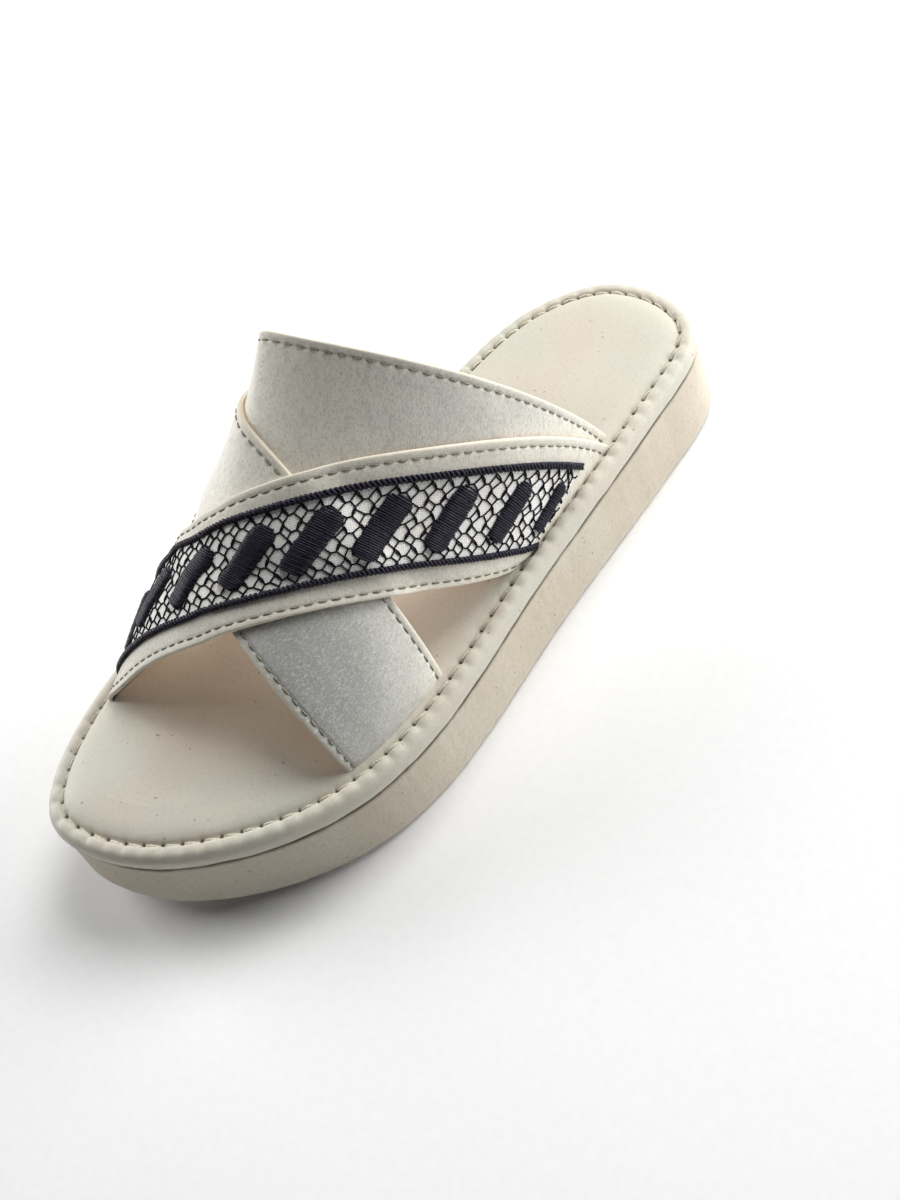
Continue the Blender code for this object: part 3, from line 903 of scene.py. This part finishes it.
FOAM = moulded_foam()
FOOTBED = footbed_leather()
STRAP_NUBUCK = brushed_nubuck("brushed_nubuck_grey", "#EBE7DA", "#C6C5BE", "#8F908D")
BAND_NUBUCK = brushed_nubuck("brushed_nubuck_cream", "#EAE4D5", "#CDC9BD", "#A29E93")
LINING = pigskin_lining()
RIM_THREAD = sewing_thread("bonded_nylon_cream", "#DCD6C5", "#B9B19C", 0.5, 0.3)
EDGE_THREAD = sewing_thread("bonded_nylon_taupe", "#938C7A", "#665F4C", 0.6, 0.3)
NET_YARN = sewing_thread("cotton_yarn_navy", "#15131E", "#09080F", 0.8, 0.1)
SATIN_FLOSS = sewing_thread("rayon_floss_navy", "#242031", "#0A0910", 0.40, 0.20)
TAPE = cotton_tape()


# ---- outsole ----
def build_outsole():
    """Foam block: wall rings under the footbed, closed below and above."""
    ring = even_ring(WALL_STEPS, 0.0)
    out = outward_directions(ring)
    lengths = closed_lengths(ring)
    low = sole_lift(ring[:, 1])
    high = foam_top(ring[:, 1])
    profile = np.array(WALL_PROFILE)
    knots = run_lengths(profile * (WALL_HEIGHT, 1.0))
    section = pick_along(profile, knots, np.linspace(0.0, 1.0, WALL_RINGS) * knots[-1])
    skin = waves(lengths, SKIN_WAVES)
    floor_edge = waves(lengths, FLOOR_EDGE_WAVES)
    seam_edge = waves(lengths, SEAM_EDGE_WAVES)
    rings = []
    for share, outward in section:
        lower = floor_edge * bump_at(share, EDGE_REACH)
        top = seam_edge * bump_at(1.0 - share, EDGE_REACH)
        uneven = skin * (SKIN_AT_FLOOR + (1.0 - SKIN_AT_FLOOR) * share)
        flat = ring + out * (outward + uneven + lower)[:, None]
        rings.append(np.column_stack([flat, low + (high - low) * share - np.abs(top)]))
    rings = np.array(rings)
    floor_rungs, roof_rungs = SOLE_RUNGS
    under = ladder(rings[0], lambda grid, share: sole_lift(grid[..., 1]), floor_rungs)
    roof = ladder(rings[-1], lambda grid, share: foam_top(grid[..., 1]), roof_rungs)
    # the flat map's v is the share up the wall, for the painted shade in the seam
    sole = join("foam_outsole", [
        laid_grid("sole_wall", wrapped(rings), 0.0, section[:, :1]),
        laid_grid("sole_floor", under, 0.0, 0.0),
        laid_grid("sole_roof", roof, 0.0, 1.0),
    ])
    close_shell(sole)
    finish_piece(sole, FOAM, ("outsole",), 50.0)


# ---- footbed ----
def footbed_section():
    """Smooth rolled-edge profile as rows of inset and height."""
    points = np.array(FOOTBED_PROFILE)
    knots = run_lengths(points)
    at = np.linspace(0.0, knots[-1], int(knots[-1] * PROFILE_STEPS))
    return cubic(knots, points, at)


def pucker(index, inset):
    """Leather pulled down round each needle hole, fading out over the roll and into the padding."""
    stitch = index / STEPS_PER_STITCH
    nearest = np.round(stitch)
    strength, slant, soft = (wander(nearest, seed, 1.0) for seed in PUCKER_SEEDS)
    least, varied = PUCKER_PULL
    half, widening = PUCKER_HALF
    roll_depth, roll_from, roll_run = ROLL_PULL
    pad_least, pad_varied, pad_end, pad_run = PAD_PULL
    hole_depth, hole_along, hole_across = HOLE
    outside = TROUGH_INSET - inset
    off = (stitch - nearest) * STITCH_PITCH - PUCKER_SLANT * outside * slant
    roll = roll_depth * ease((inset - roll_from) / roll_run) * (outside > 0.0)
    depth = pad_least + pad_varied * np.clip(soft, 0.0, 1.0)
    pad = depth * ease((pad_end - inset) / pad_run) ** PAD_FADE * (outside <= 0.0)
    pull = bump_at(off, half + widening * abs(outside)) * (least + varied * strength)
    hole = hole_depth * bump_at(off, hole_along) * bump_at(outside, hole_across)
    swell = SWELL * np.cos(2.0 * np.pi * stitch) * roll
    return pull * (roll + pad) + hole + swell


def eased_ring(ring, reach):
    """A closed ring evened out over a reach, so that deep insets stay smooth at toe and heel."""
    if reach <= 0.0:
        return ring
    turns = np.fft.rfftfreq(len(ring), d=STITCH_PITCH / STEPS_PER_STITCH)
    soften = np.exp(-2.0 * (np.pi * turns * reach) ** 2)
    return np.fft.irfft(np.fft.rfft(ring, axis=0) * soften[:, None], n=len(ring), axis=0)


def crowned(grid, share):
    """Height of the padding between the two halves of its innermost ring."""
    edge = grid[:, :1, 2] * (1.0 - share) + grid[:, -1:, 2] * share
    wide = ease(np.linalg.norm(grid[:, :1] - grid[:, -1:], axis=2) / CROWN_WIDTH)
    return edge + FOOTBED_CROWN * (4.0 * share * (1.0 - share)) ** 2 * wide


def build_footbed():
    """Wrapped board: rolled edge, stitched trough with puckers, padded middle."""
    ring = even_ring(RIM_STEPS, TROUGH_INSET)
    out = outward_directions(ring)
    index = np.arange(len(ring))
    base = bed_bottom(ring[:, 1])
    lengths = closed_lengths(ring)
    ripple = waves(lengths, PADDING_WAVES)
    rolling = waves(lengths, ROLL_WAVES)
    groove_depth, groove_half = GROOVE
    section = footbed_section()
    rings = []
    for inset, height in section:
        down = groove_depth * bump_at(inset - TROUGH_INSET, groove_half) + pucker(index, inset)
        flat = ring - out * (inset + rolling * bump_at(height, ROLL_REACH))[:, None]
        if inset < BULGE_TO:
            flat = flat - out * (pucker(index, max(inset, 0.5)) * BULGE)[:, None]
        up = base + height - down + ripple * (inset < PADDING_WAVES_TO)
        reach = max(inset - EASED_FROM, 0.0) * EASED_RATE
        rings.append(eased_ring(np.column_stack([flat, up]), reach))
    rings = np.array(rings)
    middle_rungs, under_rungs = FOOTBED_RUNGS
    middle = ladder(rings[-1], crowned, middle_rungs)
    under = ladder(rings[0], lambda grid, share: bed_bottom(grid[..., 1]), under_rungs)
    # the flat map counts stitches round the rim and mm in from the seam, for the needle holes
    stitches = np.arange(len(ring) + 1) / STEPS_PER_STITCH
    bed = join("leather_footbed", [
        laid_grid("footbed_rim", wrapped(rings), stitches, section[:, :1]),
        laid_grid("footbed_middle", middle, *BETWEEN_HOLES),
        laid_grid("footbed_under", under, *BETWEEN_HOLES),
    ])
    close_shell(bed)
    finish_piece(bed, FOOTBED, ("insole",), 80.0)


def build_rim_stitches():
    """Light thread that runs from hole to hole in the trough."""
    ring = even_ring(RIM_STEPS, TROUGH_INSET)
    out = outward_directions(ring)
    line = ring - out * TROUGH_INSET
    base = bed_bottom(line[:, 1])
    steps = np.arange(1, STEPS_PER_STITCH)
    share = steps / STEPS_PER_STITCH
    low, arch, square = RIM_STITCH
    rise = low + arch * np.sin(np.pi * share) ** square
    slant, outward = RIM_STITCH_LEAN
    aside = outward + slant * np.cos(np.pi * share)[:, None]
    paths = []
    for stitch in range(2 * STITCHES_PER_SIDE):
        index = stitch * STEPS_PER_STITCH + steps
        height = base[index] + TROUGH_HEIGHT + rise + waves(stitch, (RIM_STITCH_LOOSE,))
        paths.append(np.column_stack([line[index] + out[index] * aside, height]))
    build_threads("footbed_rim_stitches", paths, RIM_THREAD_RADIUS, RIM_THREAD, 2)


# ---- straps ----
STRAPS = {
    # name: edges, straps below it, place in the pile
    "instep": (INSTEP_STRAP_EDGES, (), 0),
    "plain": (PLAIN_STRAP_EDGES, ("instep",), 1),
    "band": (BAND_STRAP_EDGES, ("instep", "plain"), 2),
}


def strap_edges(name, turn):
    """Rear and front edge of a strap at a turn, as distances from the heel end."""
    return [read_table(STRAPS[name][0], index, turn) for index in (1, 2)]


def strap_lift(name, turn, from_heel):
    """Height of a strap's inner face over the last, where it lies on the straps below it."""
    _, below, place = STRAPS[name]
    lift = np.zeros(np.shape(from_heel)) + place * LAYER_STEP
    for lower in below:
        rear, front = strap_edges(lower, turn)
        inside = np.minimum(from_heel - rear, front - from_heel)
        lift = lift + (STRAP_WALL - LAYER_STEP) * ease((inside + EDGE_BLEND) / EDGE_BLEND)
    return lift


def over_last(name, turn, from_heel, height):
    """Points at a height over a strap's inner face, and the directions out of the last there."""
    lift = strap_lift(name, turn, from_heel) + height
    out = last_outward(from_heel, turn)
    return last_point(from_heel, turn) + out * np.asarray(lift)[..., None], out


def strap_place(name, turn, across, height=STRAP_WALL):
    """Point on a strap; across 0..1 from its rear to its front edge."""
    on = np.clip(turn, 0.0, 1.0)
    rear, front = strap_edges(name, on)
    point, _ = over_last(name, on, rear + (front - rear) * across, height)
    point[..., 2] -= np.abs(turn - on) * BELOW_FOOT
    return point


def strap_lines(name, turns):
    """A strap's edges, length along its middle, width square to that, and slant at each turn."""
    rear, front = strap_edges(name, turns)
    middle = strap_place(name, turns, 0.5)
    lengths = run_lengths(middle)
    along = np.gradient(middle, lengths, axis=0)
    span = strap_place(name, turns, 0.75) - strap_place(name, turns, 0.25)
    slant = (span * along).sum(axis=1)
    width = 2.0 * np.sqrt(np.maximum((span ** 2).sum(axis=1) - slant ** 2, 1.0))
    return rear, front, lengths, width, 2.0 * slant


def even_turns(name, rows):
    """Turns at even steps of length along a strap."""
    dense = np.linspace(0.0, 1.0, DENSE)
    lengths = run_lengths(strap_place(name, dense, 0.5))
    return np.interp(np.linspace(0.0, lengths[-1], rows), lengths, dense)


def strap_shell(name, part, section, rows):
    """Grid round a strap's section, run a little down into the footbed at both ends.

    A row of the section is share across, mm further across and height. Also gives the share
    along the strap of each row, and the shares along and across of each point laid flat.
    """
    turns = even_turns(name, rows)[:, None]
    rear, front, lengths, width, slant = (
        line[:, None] for line in strap_lines(name, turns[:, 0])
    )
    share, inset, height = np.array(section).T[:, None, :]
    per_mm = (front - rear) / width
    y = rear + (front - rear) * share + inset * per_mm
    points, _ = over_last(name, turns, y, height)
    v = (y - rear) / per_mm
    u = lengths + (v / width - 0.5) * slant
    drops = np.array(TAIL_DROPS)
    down = np.concatenate([drops, np.zeros(rows), drops[::-1]])[:, None]
    past = np.concatenate([-drops, np.zeros(rows), drops[::-1]])[:, None]
    row = np.clip(np.arange(len(down)) - len(drops), 0, rows - 1)
    points = points[row]
    points[..., 2] -= down
    u = u[row] + past
    v = v[row]
    piece = laid_grid(f"{name}_{part}", points, u, v)
    return piece, (lengths[row] + past) / lengths[-1], u / lengths[-1], v / width.max()


def painted_light_and_shade(name, along, across):
    """Painted light and shade over a strap: above 0 a painted highlight, paler, below 0 painted
    shade, greyer.
    """
    lit_and_shaded = np.zeros(np.shape(along))
    for centre_along, centre_across, reach, strength in PAINTED_LIGHT_PATCHES[name]:
        off = np.hypot(along - centre_along, (across - centre_across) * PAINTED_PATCH_ACROSS)
        lit_and_shaded = lit_and_shaded + strength * bump_at(off, reach)
    return lit_and_shaded


def mirrored(section):
    """The same part of a strap's section at its front edge."""
    return [(1.0 - share, -inset, height, raw) for share, inset, height, raw in section]


def build_strap(name, material):
    """One strap as a closed shell with eased cut edges and a pressed line under its stitches."""
    edge = [(0.0, inset, STRAP_WALL - below, raw) for inset, below, raw in CUT_EDGE]
    last_inset = CUT_EDGE[-1][0]
    face = [(share, last_inset * (1.0 - 2.0 * share), STRAP_WALL, 0.0)
            for share in np.linspace(0.0, 1.0, FACE_LINES)[1:-1]]
    wall = [(0.0, inset, height, 1.0) for inset, height in CUT_WALL]
    underside = [(share, 0.0, LINING_THICK, UNDERSIDE_RAW)
                 for share in np.linspace(1.0, 0.0, UNDER_LINES)[1:-1]]
    section = edge + face + mirrored(edge)[::-1] + mirrored(wall) + underside + wall[::-1]
    section = np.array(section + section[:1])
    piece, _, along, across = strap_shell(name, "strap", section[:, :3], STRAP_ROWS)
    mark_points(piece, "cut_edge", np.broadcast_to(section[:, 3], along.shape))
    # painted highlight and painted shade patches over the strap
    mark_points(piece, "painted_light_and_shade", painted_light_and_shade(name, along, across))
    close_shell(piece, open_ends=True)
    finish_piece(piece, material, ("upper",), 60.0)


def build_lining(name):
    """Thin lining under a strap, trimmed a little inside the strap's edges."""
    shares = np.linspace(0.0, 1.0, UNDER_LINES)
    section = [
        (share, LINING_TRIM * (1.0 - 2.0 * share), height)
        for height, line in zip(LINING_FACES, (shares, shares[::-1])) for share in line
    ]
    section.append(section[0])
    piece, along, _, _ = strap_shell(name, "lining", section, LINING_ROWS)
    # painted shade, near black, along the band lining's front edge at its inner end
    if name == "band":
        across = np.array(section)[:, 0]
        shade_mask = ease((across - SHADE_ACROSS[0]) / SHADE_ACROSS[1])
        shade_mask = shade_mask * ease((along - SHADE_ALONG[0]) / SHADE_ALONG[1])
        mark_points(piece, "painted_underside_shade", shade_mask)
    close_shell(piece, open_ends=True)
    finish_piece(piece, LINING, (), 60.0)


def build_edge_stitches(name):
    """Rows of stitches along both edges of a strap."""
    turns = np.linspace(0.0, 1.0, DENSE)
    rear, front, _, width, _ = strap_lines(name, turns)
    per_mm = (front - rear) / width
    paths = []
    for edge, inward in ((rear, 1.0), (front, -1.0)):
        y = edge + inward * EDGE_STITCH_INSET * per_mm
        line, out = over_last(name, turns, y, STRAP_WALL - EDGE_STITCH_SUNK)
        lengths = run_lengths(line)
        count = int(lengths[-1] / EDGE_STITCH_PITCH)
        for k in range(count):
            start = (k + EDGE_STITCH_START) * lengths[-1] / count
            at = start + np.linspace(0.0, 1.0, len(EDGE_STITCH_RISE)) * EDGE_STITCH_LENGTH
            rise = pick_along(out, lengths, at) * EDGE_STITCH_RISE[:, None]
            paths.append(pick_along(line, lengths, at) + rise)
    build_threads(name + "_strap_stitches", paths, EDGE_THREAD_RADIUS, EDGE_THREAD)


# ---- band: flat places on the strap ----
def flat_table():
    """Turns of the band strap for stations each mm along its middle line and shares across."""
    turns = np.linspace(*TABLE_TURNS)
    lengths = run_lengths(strap_place("band", turns, 0.5))
    lengths -= np.interp(0.0, turns, lengths)
    end = np.interp(1.0, turns, lengths)
    stations = np.arange(-PAST_FOOT, end + PAST_FOOT + 0.01, 1.0)
    middle = strap_place("band", np.linspace(0.0, 1.0, TABLE_MIDDLE), 0.5)
    way = run_lengths(middle)
    direction = np.gradient(middle, way, axis=0)
    direction /= np.linalg.norm(direction, axis=1)[:, None]
    on_strap = np.clip(stations, 0.0, end)
    along = pick_along(direction, way, on_strap)
    centre = pick_along(middle, way, on_strap) + along * (stations - on_strap)[:, None]
    shares = np.linspace(0.0, 1.0, TABLE_SHARES)
    turn_at = np.zeros((len(stations), len(shares)))
    start = len(shares) // 2
    # outward from the middle line, each share starts from the last one's answer
    for order in (range(start, len(shares)), range(start - 1, -1, -1)):
        guess = stations.copy()
        for k in order:
            for _ in range(TABLE_TRIES):
                here, ahead = (
                    strap_place("band", np.interp(at, lengths, turns), shares[k])
                    for at in (guess, guess + TABLE_PROBE)
                )
                gap = ((here - centre) * along).sum(axis=1)
                slope = ((ahead - here) * along).sum(axis=1) / TABLE_PROBE
                step = gap / np.maximum(slope, TABLE_SLOWEST)
                guess = guess - np.clip(step, -TABLE_LONGEST, TABLE_LONGEST)
                guess = np.clip(guess, lengths[0], lengths[-1] - TABLE_MARGIN)
            turn_at[:, k] = np.interp(guess, lengths, turns)
    return stations, shares, turn_at, end


BAND_STATIONS, BAND_SHARES, BAND_TURNS, BAND_LENGTH = flat_table()


def band_share(across):
    """Share of the strap's width at a flat distance from its middle line."""
    step = (ROPE_SHARE_FRONT - ROPE_SHARE_REAR) / (TAPE_FRONT - TAPE_REAR)
    return ROPE_SHARE_REAR + (across - TAPE_REAR) * step


def band_turn(along, across):
    """Turn of the strap at flat places; below 0 or above 1 it has gone into the footbed."""
    row = np.clip(along - BAND_STATIONS[0], 0.0, len(BAND_STATIONS) - 1.001)
    col = np.clip(band_share(across) * (len(BAND_SHARES) - 1), 0.0, len(BAND_SHARES) - 1.001)
    row, col = np.broadcast_arrays(row, col)
    i = row.astype(int)
    j = col.astype(int)
    a = row - i
    b = col - j
    low = BAND_TURNS[i, j] * (1.0 - b) + BAND_TURNS[i, j + 1] * b
    high = BAND_TURNS[i + 1, j] * (1.0 - b) + BAND_TURNS[i + 1, j + 1] * b
    return low * (1.0 - a) + high * a


def on_band(along, across, height=0.0):
    """Points on the band strap's outer face at flat places, raised by a height."""
    turn = band_turn(along, across)
    return strap_place("band", turn, band_share(across), STRAP_WALL + height)


def on_tape(along, across):
    """Which flat places lie on the tape, between its squared-off end and the inner foot."""
    share = (across - TAPE_REAR) / (TAPE_FRONT - TAPE_REAR)
    stop = TAPE_STOPS_REAR + (TAPE_STOPS_FRONT - TAPE_STOPS_REAR) * share
    turn = band_turn(along, across)
    return (turn > stop) & (turn < TAPE_TO_TURN)


def tape_run(across, step):
    """Places along one line of the tape."""
    stations = np.arange(-PAST_FOOT, BAND_LENGTH + PAST_FOOT, step)
    return stations[on_tape(stations, across)]


# ---- band: tape, net, bars and ropes ----
def build_tape():
    """Woven tape stitched down on the strap under the ropes."""
    across = np.linspace(TAPE_REAR, TAPE_FRONT, TAPE_LINES)
    first, last = np.array([tape_run(line, TAPE_STEP)[[0, -1]] for line in across]).T
    share = np.linspace(0.0, 1.0, TAPE_ROWS)[:, None]
    along = first * (1.0 - share) + last * share
    across = np.broadcast_to(across, along.shape)
    piece = laid_grid("band_tape", on_band(along, across, TAPE_LIFT), along, across)
    finish_piece(piece, TAPE)


def net_paths():
    """Flat paths of the net: big rounded cells, small ones between, a side of each knot doubled."""
    rise = (TAPE_FRONT - TAPE_REAR - 2.0 * NET_MARGIN) / (NET_ROWS - 1)
    first = TAPE_REAR + NET_MARGIN
    random = np.random.default_rng(NET_SEED)
    knots = {}
    flats = {}
    for j in range(NET_ROWS):
        shift = NET_SHIFTS[j]
        below = NET_SHIFTS[min(j + 1, NET_ROWS - 1)]
        for i in range(-NET_BEFORE, int(BAND_LENGTH / NET_PITCH) + NET_BEFORE):
            x = NET_FIRST + shift + i * NET_PITCH
            knot = np.array([x + NET_PITCH / 2.0, first + j * rise])
            knots[i, j] = knot + random.uniform(-NET_LOOSE, NET_LOOSE, 2)
            centre = np.array([x + (below - shift) / 2.0, first + (j + 0.5) * rise])
            centre = centre + random.uniform(-NET_LOOSE, NET_LOOSE, 2)
            tilt = random.uniform(-NET_TILT, NET_TILT)
            flats[i, j] = (centre + (-NET_FLAT, -tilt), centre + (NET_FLAT, tilt))
    bow, drop = NET_DOUBLED
    paths = []
    for (i, j), knot in knots.items():
        low = knot - (0.0, NET_KNOT)
        high = knot + (0.0, NET_KNOT)
        paths += [(low, knot + (0.0, NET_STUB)), flats[i, j], (high, flats[i, j][1])]
        for end, place, side in (
            (high, (i + 1, j), 0), (low, (i, j - 1), 1), (low, (i + 1, j - 1), 0)
        ):
            if place in flats:
                paths.append((end, flats[place][side]))
        place, side = ((i + 1, j), 0) if j % 2 else ((i, j), 1)
        if place in flats:
            doubled = flats[place][side]
            middle = (knot + doubled) / 2.0 + (bow * np.sign(doubled[0] - knot[0]), drop)
            paths.append((low, middle, doubled))
    return [np.array(path) for path in paths]


def bar_shapes():
    """Satin bars as (middle, unit direction along, length, width)."""
    shapes = []
    for along, lean, length, width in BARS:
        lean = math.radians(lean)
        axis = np.array([math.sin(lean), math.cos(lean)])
        shapes.append((np.array([along, BAR_ACROSS]), axis, length, width))
    return shapes


def in_bar(point):
    """True where a flat point lies well inside a satin bar."""
    for middle, axis, length, width in bar_shapes():
        off = point - middle
        straight = (length - width) / 2.0
        reach = np.clip(off @ axis, -straight, straight)
        if np.linalg.norm(off - axis * reach) < width / 2.0 - NET_HIDDEN:
            return True
    return False


def build_net():
    """Net of navy thread over the tape."""
    threads = []
    for path in net_paths():
        if path[:, 1].max() < TAPE_REAR or path[:, 1].min() > TAPE_FRONT:
            continue
        if all(in_bar(point) for point in path):
            continue
        lengths = run_lengths(path)
        count = max(3, int(lengths[-1] / NET_STEP) + 1)
        flat = pick_along(path, lengths, np.linspace(0.0, lengths[-1], count))
        flat[:, 1] = np.clip(flat[:, 1], TAPE_REAR, TAPE_FRONT)
        height = NET_HEIGHT + NET_ARCH * np.sin(np.linspace(0.0, np.pi, count))
        kept = on_tape(flat[:, 0], flat[:, 1])
        if kept.sum() > 1:
            threads.append(on_band(flat[kept, 0], flat[kept, 1], height[kept]))
    build_threads("band_net", threads, NET_THREAD_RADIUS, NET_YARN)


def build_bars():
    """Padded satin bars: strands laid across each bar, two or three real threads as one."""
    random = np.random.default_rng(BAR_SEED)
    slant = math.radians(BAR_SLANT)
    share = np.linspace(-1.0, 1.0, STRAND_POINTS)
    first, last = BAR_ENDS
    loose_half, loose_reach, loose_height = STRAND_LOOSE
    top = np.sqrt(np.maximum(1.0 - np.abs(share) ** BAR_ROUND, 0.0))
    threads = []
    for middle, axis, length, width in bar_shapes():
        side = np.array([axis[1], -axis[0]])
        strand_way = side * math.cos(slant) + axis * math.sin(slant)
        straight = (length - width) / 2.0
        for reach in np.arange(first - length / 2.0, length / 2.0 - last, STRAND_PITCH):
            past = max(abs(reach) - straight, 0.0) / (width / 2.0)
            half = (width / 2.0) * (1.0 - past ** BAR_ROUND) ** (1.0 / BAR_ROUND)
            half = max(half, STRAND_LEAST) + random.uniform(-loose_half, loose_half)
            reach = reach + random.uniform(-loose_reach, loose_reach)
            flat = middle + axis * reach + np.outer(share * half, strand_way)
            full = BAR_PADDING * min(1.0, half / BAR_PADDED)
            full += random.uniform(-loose_height, loose_height)
            if on_tape(*middle):
                threads.append(on_band(*flat.T, STRAND_HEIGHT + full * top))
    build_threads("band_bars", threads, STRAND_RADIUS, SATIN_FLOSS)


def build_ropes():
    """Two-ply ropes along both edges of the tape."""
    spread_across, spread_up = ROPE_SPREAD
    threads = []
    for edge in (TAPE_REAR, TAPE_FRONT):
        along = tape_run(edge, ROPE_STEP)
        for ply in (0.0, math.pi):
            twist = 2.0 * math.pi * along / ROPE_TWIST + ply
            across = edge + spread_across * np.cos(twist)
            threads.append(on_band(along, across, ROPE_HEIGHT + spread_up * np.sin(twist)))
    build_threads("band_ropes", threads, ROPE_PLY_RADIUS, SATIN_FLOSS)


build_outsole()
build_footbed()
build_rim_stitches()
build_strap("instep", STRAP_NUBUCK)
build_strap("plain", STRAP_NUBUCK)
build_strap("band", BAND_NUBUCK)
for strap_name in STRAPS:
    build_lining(strap_name)
    build_edge_stitches(strap_name)
build_tape()
build_net()
build_bars()
build_ropes()


# ---- stage, light and camera ----
def build_stage():
    """Plain pale paper floor under the sandal."""
    bpy.ops.object.select_all(action="DESELECT")
    bpy.ops.mesh.primitive_circle_add(
        vertices=128, radius=FLOOR_RADIUS, fill_type="NGON", location=(0.0, 0.0, FLOOR_HEIGHT))
    floor = bpy.context.object
    floor.name = "studio_floor"
    material, tree, shader, place = new_finish("pale_paper_floor", 0.95, Specular_IOR_Level=0.05)
    fibre = add_node(tree, "TexNoise", {
        "Vector": place, "Scale": per_metre(3.0), "Detail": 2.0}).outputs["Fac"]
    dress(tree, shader, "#F6F6F6", (("#F4F4F4", fibre, 0.3, 0.7, 1.0),), ((fibre, 0.005),))
    floor.data.materials.append(material)


def build_glow():
    """Studio round the sandal: pale at the horizon, nearly dark higher up."""
    world = bpy.data.worlds.new("studio")
    world.use_nodes = True
    tree = world.node_tree
    direction = add_node(tree, "TexCoord").outputs["Generated"]
    upward = add_node(tree, "SeparateXYZ", {"Vector": direction}).outputs["Z"]
    glow = add_node(tree, "ValToRGB", {"Fac": upward})
    ramp = glow.color_ramp
    ramp.interpolation = "EASE"
    for index, (height, brightness) in enumerate(STUDIO_GLOW):
        stop = ramp.elements[0] if index == 0 else ramp.elements.new(height)
        stop.color = (brightness, brightness, brightness, 1.0)
    ramp.elements.remove(ramp.elements[-1])
    tree.links.new(glow.outputs["Color"], tree.nodes["Background"].inputs["Color"])
    bpy.context.scene.world = world


def aim_from(name, kind, place, aim, roll=0.0):
    """Hang a light or camera at a place, turned to its aim and rolled by degrees."""
    seen = bpy.data.objects.new(name, kind)
    bpy.context.scene.collection.objects.link(seen)
    seen.location = place
    way = (Vector(aim) - Vector(place)).to_track_quat("-Z", "Y")
    seen.rotation_euler = (way @ Quaternion((0.0, 0.0, 1.0), math.radians(roll))).to_euler()
    return seen


def build_lights():
    """Soft key low behind the heel, a fill high over it and a rim light from the inner side."""
    for name, place, aim, size, power in LIGHTS:
        lamp = bpy.data.lights.new(name, "AREA")
        lamp.shape = "SQUARE"
        lamp.size = size
        lamp.energy = power
        aim_from(name, lamp, place, aim)


def build_camera():
    """Camera over the outer toe side, rolled so that the sandal lies across the picture."""
    lens = bpy.data.cameras.new("camera")
    lens.lens = CAMERA_LENS
    scene = bpy.context.scene
    scene.camera = aim_from("camera", lens, CAMERA_PLACE, CAMERA_AIM, CAMERA_ROLL)
    scene.view_settings.view_transform = "Standard"


build_stage()
build_glow()
build_lights()
build_camera()
